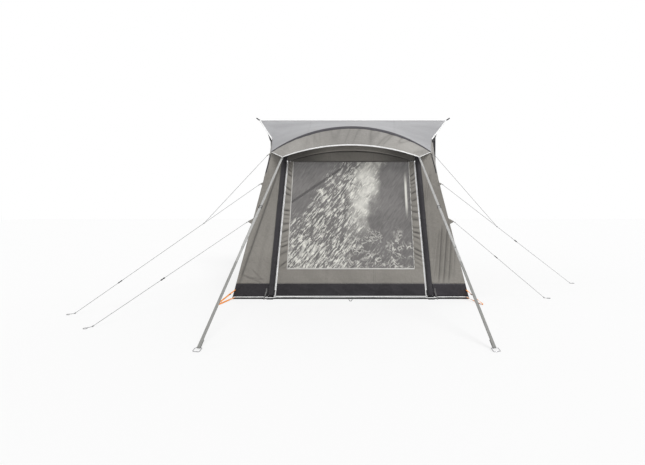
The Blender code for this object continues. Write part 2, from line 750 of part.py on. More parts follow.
for name, side in SIDES:
    rows = wall_rows(side, wall_start, beside_zip(0), above_hem, wall_head)
    make("side_front_" + name, [grid(rows)], WARM_GREY, thickness=FABRIC)
    rows = wall_rows(side, beside_zip(DOOR_CLEARANCE), before_pad(2 * GAP), head_foot, wall_head)
    make("side_head_" + name, [grid(rows)], WARM_GREY, thickness=FABRIC)
    door_rear = before_pad(HINGE_SPACE - HINGE_STUB)
    rows = wall_rows(side, beside_zip(DOOR_CLEARANCE), door_rear, door_foot, door_head)
    door_pivot = side_wall(side, before_pad(HINGE_SPACE)(0), 0)
    make("door_" + name, [grid(rows)], WARM_GREY, thickness=FABRIC, pivot=door_pivot)
    run = side_wall(side, DOOR_ZIP_SHARE, 1) - side_wall(side, DOOR_ZIP_SHARE, 0)
    back = side_wall(side, DOOR_ZIP_SHARE, 0) - side_wall(side, 0, 0)
    out = back.cross(run).normalized()
    out *= 1 if out.x * side > 0 else -1
    flat = run.cross(out).normalized()
    flat *= 1 if flat.y < 0 else -1
    share = SLIDER_REST / eave(DOOR_ZIP_SHARE).z
    low = side_wall(side, DOOR_ZIP_SHARE, share) + flat * PIPING_R + out * (FABRIC / 2 + 2 * GAP)
    across = flat * (PIPING - GAP)
    make("door_slider_" + name, [slider(low, run, across, out)], BLACK, roughness=0.4, pivot=low)

# Storm straps from the visor's corners to a steel ring on the ground
WEB = 0.002
STRAP_WIDTH = 0.025
RING_SPLAY = 0.270
RING_X = VISOR_WIDTH / 2 + RING_SPLAY
BAR_HEIGHT = 0.016
WIRE = 0.006
RING_LENGTH = 0.040
RING_WIDTH = 0.052
RING_CORNER = 0.010
TAIL = 0.060
WRAP_POINTS = 7
CORNER_POINTS = 4
STRAP_GAP = 0.0008
BUCKLE_SHARE = 0.36
BUCKLE_SIZE = (0.036, 0.034, 0.008)
BUCKLE_SLOT = (0.027, 0.0032)
WIRE_R = WIRE / 2
WRAP_R = WIRE_R + 2 * GAP + WEB / 2
ring_run = RING_LENGTH * math.sqrt(1 - ((BAR_HEIGHT - WIRE_R) / RING_LENGTH) ** 2)
bar_y = FRONT_Y - STRAP_REACH + WIRE_R + ring_run
for name, side in SIDES:
    start = visor_piping_point(side)
    bar = Vector((side * RING_X, bar_y, BAR_HEIGHT))
    plan = Vector((bar.x - start.x, bar.y - start.y, 0)).normalized()
    across = plan.cross(UP)
    down = (bar - start).normalized()
    start += down * (PIPING_R + STRAP_GAP)
    over_side = across.cross(down)
    over_side *= 1 if over_side.z > 0 else -1
    near_end = bar + over_side * WRAP_R
    path = [start.lerp(near_end, t) for t in spread(0, 1, STRAP_POINTS)]
    for angle in spread(0, math.pi, WRAP_POINTS)[1:]:
        path.append(bar + over_side * WRAP_R * math.cos(angle) + down * WRAP_R * math.sin(angle))
    path.append(path[-1] - down * TAIL)
    make("storm_strap_" + name, [ribbon(path, across * STRAP_WIDTH)], WEBBING, thickness=WEB)
    top = path[0]
    seat = top.lerp(near_end, BUCKLE_SHARE)
    shape = slotted(seat, down, across, BUCKLE_SIZE, BUCKLE_SLOT)
    make("storm_buckle_" + name, [shape], BLACK, roughness=0.4, pivot=seat)
    drop = (BAR_HEIGHT - WIRE_R) / RING_LENGTH
    ahead = plan * math.sqrt(1 - drop**2) - UP * drop
    ring = []
    half = RING_WIDTH / 2
    for a, b, turn in ((1, 0, 0), (1, 1, 1), (-1, 1, 2), (-1, 0, 3)):
        middle = bar + across * a * (half - RING_CORNER)
        middle += ahead * (RING_CORNER if b == 0 else RING_LENGTH - RING_CORNER)
        for k in range(CORNER_POINTS):
            angle = math.pi / 2 * (turn - 1 + k / (CORNER_POINTS - 1))
            ring.append(middle + across * RING_CORNER * math.cos(angle) + ahead * RING_CORNER * math.sin(angle))
    cord("storm_ring_" + name, ring, WIRE_R, STEEL, closed=True, roughness=0.35, metallic=0.9, pivot=bar)

# Foot straps and corner straps
SMALL_WEB = 0.015
FOOT_STRAP_SPACE = 0.049
FOOT_STRAP_X = HALF_FOOT + FOOT_STRAP_SPACE
FOOT_STRAP_TOP = 0.115
FOOT_STRAP_LEFT = 0.085
FOOT_STRAP_SPLAY = 0.019
FOOT_STRAP_REACH = 0.035
CORNER_INSET = 0.030
CORNER_X = HALF_BASE - CORNER_INSET
CORNER_TOP = 0.100
CORNER_LOW = 0.020
CORNER_SPLAY = 0.060
CORNER_TIP_X = HALF_BASE + CORNER_SPLAY
CORNER_REACH = 0.250
CORNER_TURN = 0.006
CORNER_OUT = 0.0045
CORNER_HEM_OUT = 0.0100
web_out = FABRIC / 2 + GAP + WEB / 2
for name, side in SIDES:
    path = [
        front(side * FOOT_STRAP_X, FOOT_STRAP_TOP, web_out),
        front(side * FOOT_STRAP_X, FOOT_STRAP_LEFT, web_out),
        Vector((side * (FOOT_STRAP_X + FOOT_STRAP_SPLAY), FRONT_Y - FOOT_STRAP_REACH, 2 * WEB)),
    ]
    make("foot_strap_" + name, [ribbon(path, ACROSS * SMALL_WEB)], WEBBING, thickness=WEB)
    high = front(side * CORNER_X, CORNER_TOP, CORNER_OUT)
    low = front(side * CORNER_X, CORNER_LOW, CORNER_HEM_OUT)
    tip = Vector((side * CORNER_TIP_X, FRONT_Y - CORNER_REACH, 2 * WEB + CORNER_TURN))
    plan = Vector((tip.x - high.x, tip.y - high.y, 0)).normalized()
    across = plan.cross(UP)
    path = [high]
    for angle in spread(math.pi / 2, -math.pi / 2, WRAP_POINTS):
        path.append(tip + plan * CORNER_TURN * math.cos(angle) + UP * CORNER_TURN * math.sin(angle))
    path.append(low)
    make("corner_strap_" + name, [ribbon(path, across * SMALL_WEB)], ORANGE, thickness=WEB)

# Elastic loop at the middle of the front
LOOP_CORD = 0.005
LOOP_WIDTH = 0.048
LOOP_REACH = 0.090
LOOP_HEIGHT = 0.014
LOOP_POINTS = 7
LOOP_SEAT = 0.0008
loop_r = LOOP_CORD / 2
nose = LOOP_WIDTH / 4
loop_y = near - LOOP_SEAT
path = [Vector((-LOOP_WIDTH / 2, loop_y, LOOP_HEIGHT))]
for angle in spread(math.pi, 0, LOOP_POINTS):
    y = loop_y - LOOP_REACH + nose - nose * math.sin(angle)
    path.append(Vector((nose * math.cos(angle), y, loop_r + GAP)))
path.append(Vector((LOOP_WIDTH / 2, loop_y, LOOP_HEIGHT)))
cord("centre_peg_loop", path, loop_r, BLACK, resolution=1)

# Guy lines: taut from their tab to a small loop on the ground, with a shorter branch from the eave
GUY = 0.004
GUY_R = GUY / 2
LOOP_R = 0.016
GUY_END_HEIGHT = 0.006
LOOP_TURN = 10
LOOP_START = -60
LOOP_SWEEP = 290
LOOP_SETBACK = 0.048
STRAIGHT_POINTS = 22
BRANCH_POINTS = 16
TOUCH = 0.0001
UPPER_LEFT_SPAN = 1.334
UPPER_LEFT_REACH = 2.590
UPPER_RIGHT_SPAN = 1.630
UPPER_RIGHT_REACH = 1.160
LOWER_LEFT_SPAN = 0.880
LOWER_LEFT_REACH = 2.990
LOWER_RIGHT_SPAN = 0.890
LOWER_RIGHT_REACH = 1.970
ENDS = {
    ("upper", -1): Vector((-HALF_BASE - UPPER_LEFT_SPAN, REAR_Y - UPPER_LEFT_REACH, 0)),
    ("upper", 1): Vector((HALF_BASE + UPPER_RIGHT_SPAN, REAR_Y - UPPER_RIGHT_REACH, 0)),
    ("lower", -1): Vector((-HALF_BASE - LOWER_LEFT_SPAN, REAR_Y - LOWER_LEFT_REACH, 0)),
    ("lower", 1): Vector((HALF_BASE + LOWER_RIGHT_SPAN, REAR_Y - LOWER_RIGHT_REACH, 0)),
}
BRANCH_SHARES = {-1: 0.346, 1: 0.396}
RUNNER_SHARES = {("upper", -1): 0.79, ("upper", 1): 0.54, ("lower", -1): 0.62, ("lower", 1): 0.47}
RUNNER_SIZE = (0.038, 0.016, 0.009)
RUNNER_BORE = (0.0056, 0.0056)


def end_loop(place, arriving):
    """The small loop at a guy's end, lying on the ground."""
    ahead = Vector((arriving.x, arriving.y, 0)).normalized()
    side = ahead.cross(UP)
    points = []
    for k in range(LOOP_TURN):
        angle = math.radians(LOOP_START + LOOP_SWEEP * k / (LOOP_TURN - 1))
        points.append(place + ahead * LOOP_R * math.sin(angle) + side * LOOP_R * math.cos(angle))
    return [p + UP * (GUY_R + GAP) for p in points]


for name, side in SIDES:
    for level in ("upper", "lower"):
        landing = ENDS[(level, side)]
        start = tab_end(level, side, GUY_R + TOUCH)
        flat = Vector((landing.x - start.x, landing.y - start.y, 0)).normalized()
        end = landing - flat * LOOP_SETBACK + UP * GUY_END_HEIGHT
        path = [start.lerp(end, t) for t in spread(0, 1, STRAIGHT_POINTS)]
        path += end_loop(landing, flat)
        cord("guy_" + level + "_" + name, path, GUY_R, GREY)
        seat = start.lerp(end, RUNNER_SHARES[(level, side)])
        shape = slotted(seat, end - start, (end - start).cross(UP), RUNNER_SIZE, RUNNER_BORE)
        make("runner_" + level + "_" + name, [shape], BLACK, roughness=0.4, pivot=seat)
        if level == "upper":
            joint = start.lerp(end, BRANCH_SHARES[side])
            head = tab_end("eave", side, GUY_R + TOUCH)
            along = (joint - head).normalized()
            spread_angle = along.angle(end - start)
            short = (GUY + TOUCH) / math.sin(spread_angle)
            branch_end = joint - along * short
            path = [head.lerp(branch_end, t) for t in spread(0, 1, BRANCH_POINTS)]
            cord("guy_branch_" + name, path, GUY_R, GREY)
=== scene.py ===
import math

import bmesh
import bpy
from mathutils import Matrix, Vector, noise


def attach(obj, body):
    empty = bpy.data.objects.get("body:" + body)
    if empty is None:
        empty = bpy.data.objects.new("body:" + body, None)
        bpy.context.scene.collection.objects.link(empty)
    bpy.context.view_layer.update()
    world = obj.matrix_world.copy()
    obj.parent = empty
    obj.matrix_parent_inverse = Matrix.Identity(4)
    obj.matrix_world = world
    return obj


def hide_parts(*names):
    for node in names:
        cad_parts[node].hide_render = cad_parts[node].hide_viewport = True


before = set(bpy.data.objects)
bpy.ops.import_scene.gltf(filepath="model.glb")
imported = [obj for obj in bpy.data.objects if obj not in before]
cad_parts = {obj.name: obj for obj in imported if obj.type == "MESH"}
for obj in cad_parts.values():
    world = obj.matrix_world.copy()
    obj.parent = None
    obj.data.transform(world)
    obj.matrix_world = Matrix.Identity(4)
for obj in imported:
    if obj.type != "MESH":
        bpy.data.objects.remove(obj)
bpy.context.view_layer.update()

# The picture: a level camera a metre above the ground, about four metres in front of the awning,
# and soft light that comes mostly from above and a little from the right.
scene = bpy.context.scene
scene.view_settings.view_transform = "Standard"
eye = bpy.data.cameras.new("eye")
eye.sensor_width = 36
eye.lens = 20.54
eye.shift_x = -0.055
eye.shift_y = -0.038
camera = bpy.data.objects.new("eye", eye)
camera.location = (0.08, -4.296, 1.0)
camera.rotation_euler = (math.radians(90), 0, 0)
scene.collection.objects.link(camera)
scene.camera = camera


def lamp(name, strength, softness, height, turn):
    """A distant soft lamp, height above the horizon and turn from straight in front, both in degrees."""
    light = bpy.data.lights.new(name, "SUN")
    light.energy = strength
    light.angle = math.radians(softness)
    place = bpy.data.objects.new(name, light)
    place.rotation_euler = (math.radians(90 - height), 0, math.radians(turn))
    scene.collection.objects.link(place)


lamp("high_lamp", strength=2.3, softness=28, height=52, turn=36)
lamp("left_lamp", strength=0.45, softness=60, height=30, turn=-75)
lamp("back_lamp", strength=0.7, softness=60, height=40, turn=165)

# Floor and sky: a matt pale floor under an even white sky. Both show white to the camera
# and in gloss, and the floor keeps a light shadow.
FLOOR_WIDTH = 60
FLOOR_WHITE_SHARE = 0.72
SKY_LIGHT = 0.42
SKY_SEEN = 0.58
WHITE = (1, 1, 1, 1)


class Wire:
    """An output of a node, with sums and products; node() adds any other node."""

    def __init__(self, tree, socket=None):
        self.tree = tree
        self.socket = socket

    def node(self, kind, settings=None, values=None, output=0):
        made = self.tree.nodes.new(kind)
        for name, value in (settings or {}).items():
            setattr(made, name, value)
        for name, value in (values or {}).items():
            if isinstance(value, Wire):
                self.tree.links.new(value.socket, made.inputs[name])
            else:
                made.inputs[name].default_value = value
        return Wire(self.tree, made.outputs[output])

    def sum_of(self, operation, first, second=0.0):
        return self.node("ShaderNodeMath", {"operation": operation}, {0: first, 1: second})

    def __add__(self, other):
        return self.sum_of("ADD", self, other)

    def __sub__(self, other):
        return self.sum_of("SUBTRACT", self, other)

    def __rsub__(self, other):
        return self.sum_of("SUBTRACT", other, self)

    def __mul__(self, other):
        return self.sum_of("MULTIPLY", self, other)

    def __truediv__(self, other):
        return self.sum_of("DIVIDE", self, other)

    def __pow__(self, other):
        return self.sum_of("POWER", self, other)

    __radd__ = __add__
    __rmul__ = __mul__

    def size(self):
        return self.sum_of("ABSOLUTE", self)

    def or_more(self, other):
        """The larger of the two."""
        return self.sum_of("MAXIMUM", self, other)

    def ribs(self, pitch):
        """Waves from -1 to 1, one for every pitch metres."""
        return self.sum_of("SINE", self * (2 * math.pi / pitch))

    def fade(self, low, high):
        """0 up to low, 1 from high, smooth between."""
        span = {"From Min": low, "From Max": high, "Value": self}
        return self.node("ShaderNodeMapRange", {"interpolation_type": "SMOOTHSTEP"}, span)

    def mix(self, none, full):
        """A colour between none, at 0, and full, at 1, each a wire or its red, green and blue."""
        ends = [end if isinstance(end, Wire) else (*end, 1) for end in (none, full)]
        return self.node("ShaderNodeMix", {"data_type": "RGBA"}, {0: self, 6: ends[0], 7: ends[1]}, 2)

    def stood(self):
        """Where a point stands, in metres."""
        return self.node("ShaderNodeTexCoord", None, None, "Object")

    def sewn(self):
        """Where a point lies on its flat cut, in metres."""
        return self.node("ShaderNodeTexCoord", None, None, "UV")

    def part(self, axis):
        return self.node("ShaderNodeSeparateXYZ", None, {0: self}, axis)

    def clouds(self, scale, detail=3.0, distortion=0.0):
        """Soft random patches over these places, scale of them to the metre."""
        values = {"Vector": self, "Scale": scale, "Detail": detail, "Distortion": distortion}
        return self.node("ShaderNodeTexNoise", None, values)

    def feed(self, quality):
        self.tree.links.new(self.socket, self.tree.nodes["Principled BSDF"].inputs[quality])

    def emboss(self, strength, distance):
        """Raises the surface by this wire times a distance."""
        values = {"Strength": strength, "Distance": distance, "Height": self}
        self.node("ShaderNodeBump", None, values).feed("Normal")


def finish(name, **even):
    """A material whose even qualities are set on its shader, and a wire to draw its pattern from."""
    made = bpy.data.materials.new(name)
    made.use_nodes = True
    shader = made.node_tree.nodes["Principled BSDF"]
    for quality, value in even.items():
        shader.inputs[quality.replace("_", " ")].default_value = value
    return made, Wire(made.node_tree)


floor_finish, wire = finish("floor", Base_Color=(0.74, 0.74, 0.74, 1), Roughness=0.9)
seen = wire.node("ShaderNodeLightPath", None, None, "Is Camera Ray") * FLOOR_WHITE_SHARE
glow = wire.node("ShaderNodeEmission", None, {"Color": WHITE, "Strength": 1.0})
plain = Wire(wire.tree, wire.tree.nodes["Principled BSDF"].outputs[0])
both = wire.node("ShaderNodeMixShader", None, {0: seen, 1: plain, 2: glow})
wire.tree.links.new(both.socket, wire.tree.nodes["Material Output"].inputs["Surface"])
bm = bmesh.new()
bmesh.ops.create_grid(bm, x_segments=1, y_segments=1, size=FLOOR_WIDTH / 2)
mesh = bpy.data.meshes.new("floor")
bm.to_mesh(mesh)
bm.free()
mesh.materials.append(floor_finish)
floor = bpy.data.objects.new("floor", mesh)
scene.collection.objects.link(floor)

sky = bpy.data.worlds.new("sky")
sky.use_nodes = True
scene.world = sky
wire = Wire(sky.node_tree)
rays = wire.node("ShaderNodeLightPath").socket.node.outputs
camera_ray, glossy_ray, through_ray = (
    Wire(wire.tree, rays["Is %s Ray" % kind]) for kind in ("Camera", "Glossy", "Transmission")
)
strength = (camera_ray + glossy_ray + through_ray).fade(0.0, 1.0) * SKY_SEEN + SKY_LIGHT
background = sky.node_tree.nodes["Background"].inputs
wire.tree.links.new(strength.socket, background["Strength"])
background["Color"].default_value = WHITE

# Guy lines: braided polyester cord 4 mm thick, tied through the cloth tabs on the front's edges
# and pulled taut to a small loop on the ground. A shorter branch runs from each eave.
FRONT_Y = -0.256
REAR_Y = 1.744
HALF_BASE = 1.300
HALF_EAVE = 0.932
EAVE_Z = 1.6525
ARCH_Z = 1.960
ARCH_SETBACK = 0.294
LEAN = math.atan2(ARCH_SETBACK, ARCH_Z)
ARCH_END = EAVE_Z / math.cos(LEAN)
GUY_R = 0.002
GUY_OFF_TAB = GUY_R + 0.0001
END_LOOP_R = 0.016
END_LOOP_Z = GUY_R + 0.0003
END_LOOP_TURNS = (-60, 230)
END_BACK = 0.048
END_RISE = 0.006
KNOT_CORD_R = 0.0018
# How wide a knot's turns are, and how far each rises.
GUY_KNOT = (0.0032, 0.0034)
BRANCH_KNOT = (0.0036, 0.0036)
KNOT_TURNS = 4
HELIX_STEPS = 12
KNOT_BELOW_TAB = 0.016
KNOT_ABOVE_END = 0.004
# How far up the front each tab stands, how tall it is, and how far it reaches past the edge.
TABS = {"eave": (1.640, 0.062, 0.024), "upper": (1.290, 0.050, 0.026), "lower": (0.856, 0.090, 0.052)}
ENDS = {
    ("upper", -1): Vector((-2.634, REAR_Y - 2.590, 0)),
    ("upper", 1): Vector((2.930, REAR_Y - 1.160, 0)),
    ("lower", -1): Vector((-2.180, REAR_Y - 2.990, 0)),
    ("lower", 1): Vector((2.190, REAR_Y - 1.970, 0)),
}
BRANCH_SHARES = {-1: 0.346, 1: 0.396}
SIDES = (("left", -1), ("right", 1))
UP = Vector((0, 0, 1))


def front(x, h, out=0.0):
    """A point of the leaning front: x across, h up its slope, out towards the viewer."""
    y = FRONT_Y + h * math.sin(LEAN) - out * math.cos(LEAN)
    return Vector((x, y, h * math.cos(LEAN) + out * math.sin(LEAN)))


def part_way(low, high, share):
    return low + (high - low) * share


def spread(low, high, count):
    return [part_way(low, high, i / (count - 1)) for i in range(count)]


def wing_edge(h):
    """The outer edge of the front, from the base corner to the eave."""
    return part_way(HALF_BASE, HALF_EAVE, h / ARCH_END)


def tab_end(place, side, past=0.0):
    h, tall, reach = TABS[place]
    return front(side * (wing_edge(h) + reach + past), h)


def guy_run(level, side):
    """Where a guy starts, where it stops before its loop, and its way out on the plan."""
    start = tab_end(level, side, GUY_OFF_TAB)
    landing = ENDS[(level, side)]
    flat = Vector((landing.x - start.x, landing.y - start.y, 0)).normalized()
    return start, landing - flat * END_BACK + UP * END_RISE, flat


def dress(piece, body="awning", node=None, flat=None, held="stretched", **more):
    """The piece rides a body and may take the place of a node; the flat cut that it is given is not used."""
    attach(piece, body)
    if node:
        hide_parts(node)
    return piece


def line(name, points, radius, finish_used, roundness=3, closed=False):
    """A round cord or piping along points."""
    curve = bpy.data.curves.new(name, "CURVE")
    curve.dimensions = "3D"
    curve.bevel_depth = radius
    curve.bevel_resolution = roundness
    curve.use_fill_caps = not closed
    spline = curve.splines.new("POLY")
    spline.points.add(len(points) - 1)
    spline.use_cyclic_u = closed
    for point, place in zip(spline.points, points):
        point.co = (*place, 1)
    spline.use_smooth = True
    piece = bpy.data.objects.new(name, curve)
    scene.collection.objects.link(piece)
    curve.materials.append(finish_used)
    return piece


def marks_along(path):
    """How far along the path each of its points lies, in metres."""
    marks = [0.0]
    for a, b in zip(path, path[1:]):
        marks.append(marks[-1] + (b - a).length)
    return marks


def helix(centre, along, radius, rise):
    """The turns of a knot round a line."""
    across = along.orthogonal().normalized()
    third = along.cross(across)
    points = []
    for i in range(KNOT_TURNS * HELIX_STEPS + 1):
        angle = 2 * math.pi * i / HELIX_STEPS
        lift = (i / HELIX_STEPS - KNOT_TURNS / 2) * rise
        way = across * math.cos(angle) + third * math.sin(angle)
        points.append(centre + along * lift + way * radius)
    return points


braid_finish, wire = finish("guy_braid", Roughness=0.75, Sheen_Weight=0.2)
where = wire.stood()
laid = {"Vector": where, "Scale": 120.0, "Distortion": 1.0}
strand = wire.node("ShaderNodeTexWave", {"bands_direction": "DIAGONAL"}, laid)
mottle = where.clouds(40.0)
(strand * 0.5 + mottle * 0.5).mix((0.10, 0.10, 0.11), (0.26, 0.26, 0.27)).feed("Base Color")
strand.emboss(0.4, 0.0004)


def guy(label, points, knots, turns, more_pieces):
    """A taut cord with its knots, each named and given by its middle and the line that it is tied round."""
    cord = line(label + "_cord", points, GUY_R, braid_finish)
    tied = []
    for what, centre, along in knots:
        wound = helix(centre, along, *turns)
        knot = line("%s_%s_knot" % (label, what), wound, KNOT_CORD_R, braid_finish, 2)
        tied.append(dress(knot))
    dress(cord, node=label)
    round(marks_along(points)[-1], 3)
    tied + more_pieces


for name, side in SIDES:
    for level in ("upper", "lower"):
        start, end, flat = guy_run(level, side)
        along = (end - start).normalized()
        points = [start.lerp(end, t) for t in spread(0, 1, 22)]
        for angle in map(math.radians, spread(*END_LOOP_TURNS, 10)):
            way = flat * math.sin(angle) + flat.cross(UP) * math.cos(angle)
            points.append(ENDS[(level, side)] + way * END_LOOP_R + UP * END_LOOP_Z)
        knots = [("tab", start + along * KNOT_BELOW_TAB, along), ("end", end - along * KNOT_ABOVE_END, along)]
        label = "%s_%s" % (level, name)
        guy("guy_" + label, points, knots, GUY_KNOT, ["runner_" + label])
        if level == "upper":
            joint = start.lerp(end, BRANCH_SHARES[side])
            head = tab_end("eave", side, GUY_OFF_TAB)
            down = (joint - head).normalized()
            stop = joint - down * (GUY_R + GUY_OFF_TAB) / math.sin(down.angle(along))
            points = [head.lerp(stop, t) for t in spread(0, 1, 16)]
            knots = [("tab", head + down * KNOT_BELOW_TAB, down), ("joint", joint, along)]
            guy("guy_branch_" + name, points, knots, BRANCH_KNOT, [])

# Roof cloth: coated polyester, sewn from three widths with lapped seams. Every line from the arch
# to the rail is straight, and flat wings widen it to the full length of the rail.
# Its bead is held in the rail behind.
RAIL_Z = 2.435
ARCH_TOP = ARCH_Z / math.cos(LEAN)
ARCH_R = (HALF_EAVE**2 + (ARCH_TOP - ARCH_END) ** 2) / (2 * (ARCH_TOP - ARCH_END))
ARCH_CENTRE = ARCH_TOP - ARCH_R
ARCH_SWEEP = math.asin(HALF_EAVE / ARCH_R)
SHEET_REAR = REAR_Y - 0.0063
WING_START = 0.315
WING_SHARE = 0.3
WING_OUTER = Vector((1.530, SHEET_REAR, RAIL_Z))
CLOTH = 0.001
ROOF_SAG = 0.005
ROOF_CUT = (3.10, 1.85)


def arch(s):
    """The arch from s = -1 at the left eave to s = 1 at the right one."""
    angle = s * ARCH_SWEEP
    return front(ARCH_R * math.sin(angle), ARCH_CENTRE + ARCH_R * math.cos(angle))


def rail(s):
    return Vector((s * HALF_BASE, SHEET_REAR, RAIL_Z))


def eave(u):
    """The eave from u = 0 at the arch to u = 1 at the rail, on the right."""
    return arch(1).lerp(Vector((HALF_BASE, REAR_Y, RAIL_Z)), u)


def mirrored(point, side):
    return Vector((point.x * side, point.y, point.z))


def ripple(x, y, scale, seed):
    """Smooth random height from -1 to 1."""
    return noise.noise(Vector((x * scale, y * scale, seed)))


def crease(x, y, scale, seed, sharp=6):
    """Narrow random ridges, 1 along the top and 0 far from one."""
    return (1 - abs(ripple(x, y, scale, seed))) ** sharp


def ease(t):
    t = max(0.0, min(1.0, t))
    return t * t * (3 - 2 * t)


def put(name, bm, finish_used, smooth=True):
    """The bmesh as a piece that stands in place, with its faces outward."""
    bmesh.ops.recalc_face_normals(bm, faces=bm.faces)
    mesh = bpy.data.meshes.new(name)
    bm.to_mesh(mesh)
    bm.free()
    if smooth:
        mesh.shade_smooth()
    mesh.materials.append(finish_used)
    piece = bpy.data.objects.new(name, mesh)
    scene.collection.objects.link(piece)
    return piece


def flat_cut(across, up, measure):
    """A flat grid 1 across and 1 up; measure(u, v) gives its UV map, in metres of cloth."""
    bm = bmesh.new()
    bmesh.ops.create_grid(bm, x_segments=across, y_segments=up, size=0.5)
    sewn = bm.loops.layers.uv.new("cut")
    for face in bm.faces:
        for loop in face.loops:
            loop[sewn].uv = measure(loop.vert.co.x + 0.5, loop.vert.co.y + 0.5)
    return bm


def hang(bm, place, painted_shade=None):
    """Moves a flat cut point by point to where it hangs, and joins edges that meet there, storing how much
    painted shade each point gets.
    """
    depth = bm.verts.layers.float.new("painted_shade") if painted_shade else None
    for vert in bm.verts:
        u, v = vert.co.x + 0.5, vert.co.y + 0.5
        vert.co = place(u, v)
        if painted_shade:
            vert[depth] = painted_shade(u, v)
    bmesh.ops.remove_doubles(bm, verts=bm.verts, dist=0.0001)


def thicken(piece, wall):
    made = piece.modifiers.new("wall", "SOLIDIFY")
    made.thickness = wall
    made.offset = 0
    return piece


def lay_cloth(name, across, up, cut, place, finish_used, slot, keep=None, thick=CLOTH, painted_shade=None):
    """A cut of cloth, laid point by point where place(u, v) says, but only where keep(u, v) holds.

    The painted shade, a function of (u, v), gives from 0 to 1 how much painted shade a point gets, mostly
    deep in a fold, for a finish that paints it darker."""
    bm = flat_cut(across, up, lambda u, v: (u * cut[0], v * cut[1]))
    if keep:
        middles = {face: face.calc_center_median() for face in bm.faces}
        spare = [face for face, middle in middles.items() if not keep(middle.x + 0.5, middle.y + 0.5)]
        bmesh.ops.delete(bm, geom=spare, context="FACES")
    hang(bm, place, painted_shade)
    return thicken(put(name, bm, finish_used), thick)


def times(colour, share):
    return [part * share for part in colour]


def cloth_finish(
    name, dark, light, roughness=0.8, seams=(), creases=1.0, weave=1.0, band=None, painted_shade_strength=0.0, gloss=0.5
):
    """Woven coated cloth: fine weave, faint creases, patches a little lighter and darker, and sewn seams.

    seams are (axis, metres) lines on the cut, band is (metres, dark, light) for a coated strip along
    the foot, and the painted shade strength is how much darker the points' stored painted shade makes the
    colour."""
    made, wire = finish(name, Sheen_Weight=0.24 * gloss, Sheen_Roughness=0.5, Specular_IOR_Level=gloss)
    where = wire.stood()
    cut = wire.sewn()
    u = cut.part(0)
    v = cut.part(1)
    patches = where.clouds(1.6, 4.0, 0.6)
    specks = where.clouds(60.0, 2.0)
    shade = (patches * 0.8 + specks * 0.35 - 0.08).fade(0.25, 0.8).mix(dark, light)
    threads = u.ribs(0.0016) * v.ribs(0.0016)
    folds = 1 - (where.clouds(3.2, 3.0, 1.2) * 2 - 1).size()
    height = threads * (0.00005 * weave) + (folds**7) * (0.0022 * creases)
    height = height + where.clouds(9.0, 4.0, 0.4) * (0.0018 * creases)
    rough = patches * 0.1 + (roughness - 0.05)
    for axis, place in seams:
        off = ((u, v)[axis] - place).size()
        dashes = (v, u)[axis].ribs(0.006).fade(-0.2, 0.3)
        thread = (1 - (off - 0.005).size().fade(0.0004, 0.0012)) * dashes
        ridge = 1 - off.fade(0.006, 0.009)
        edge = 1 - (off - 0.0085).size().fade(0.0, 0.0025)
        height = height + ridge * 0.0007 + thread * 0.0004
        shade = (thread * 0.35 + edge * 0.35).mix(shade, times(dark, 0.45))
    if band:
        foot, low, high = band
        coated = 1 - v.fade(foot - 0.001, foot + 0.001)
        shade = coated.mix(shade, patches.mix(low, high))
        rough = rough - coated * 0.22
    # Painted shade: the shade stored with the points, in folds and under the visor, mixes the colour towards
    # a much darker tone.
    if painted_shade_strength:
        deep = wire.node("ShaderNodeAttribute", {"attribute_name": "painted_shade"}, None, "Fac") * painted_shade_strength
        shade = deep.mix(shade, times(dark, 0.22))
    shade.feed("Base Color")
    rough.feed("Roughness")
    height.emboss(1.0, 1.0)
    return made


def roof_point(u, v):
    """Across from wing to wing, and back from the arch to the rail."""
    s = (2 * u - 1) * (1 + WING_SHARE)
    main = max(-1.0, min(1.0, s))
    p = arch(main).lerp(rail(main), part_way(0.0015, 1.0, v))
    loose = math.sin(math.pi * v)
    drop = ROOF_SAG * loose * (1 - main**2) + 0.0022 * loose * ripple(main * 1.1, v * 0.35, 2.6, 3.0)
    drop += 0.0016 * loose * crease(main * 1.4 + v * 0.8, v * 0.3 - main * 0.25, 2.2, 8.0)
    drop += 0.003 * ease((v - 0.9) / 0.1) * (0.5 + 0.5 * math.sin(main * 46 + 2 * math.sin(main * 9)))
    if abs(s) > 1:
        past = (abs(s) - 1) / WING_SHARE
        wide = max(0.0, (v - WING_START) / (1 - WING_START))
        outer = mirrored(eave(WING_START).lerp(WING_OUTER, wide), math.copysign(1, s))
        p = p.lerp(outer, past if wide else 0.0)
        drop = drop * (1 - past) + 0.002 * math.sin(math.pi * past) * loose
    return p - UP * drop


roof_seams = [(0, 0.93), (0, 2.17), (1, 1.80)]
roof_finish = cloth_finish("roof_cloth", (0.225, 0.225, 0.235), (0.315, 0.315, 0.327), 0.72, roof_seams)
roof = lay_cloth("roof_cloth", 156, 72, ROOF_CUT, roof_point, roof_finish, "roof_cloth")
dress(roof, node="roof_sheet", flat=ROOF_CUT, rests_on=["keder_bead", "arch_band"], area=4.6)

# Piping on the roof wings' free edges: white plastic cord 8 mm thick, wrapped in a white strip
# that is sewn flat onto the cloth along the edge.
PIPING_R = 0.004
TAPE = 0.0008
ROOF_TAPE = 0.012
ROOF_TAPE_LIFT = 0.0016
piping_finish, wire = finish("white_piping", Roughness=0.42, Specular_IOR_Level=0.4)
where = wire.stood()
where.clouds(14.0, 4.0).fade(0.3, 0.75).mix((0.72, 0.72, 0.72), (0.86, 0.86, 0.855)).feed("Base Color")
where.clouds(90.0).emboss(0.35, 0.001)
wing_foot = eave(WING_START)
edge = (WING_OUTER - wing_foot).normalized()
away = (rail(1) - wing_foot).cross(edge).cross(edge).normalized()
away = -away if away.x < 0 else away
skyward = edge.cross(away)
skyward = -skyward if skyward.z < 0 else skyward


def piping(name, points, node=None, radius=PIPING_R):
    return dress(line(name, points, radius, piping_finish), node=node)


def sew_tape(name, rows, cut, place, body="awning"):
    """The flat white strip that holds the piping, lying on the cloth beside it."""
    tape = lay_cloth(name, 2, rows, cut, place, piping_finish, "white_piping", thick=TAPE)
    dress(tape, body, flat=cut)


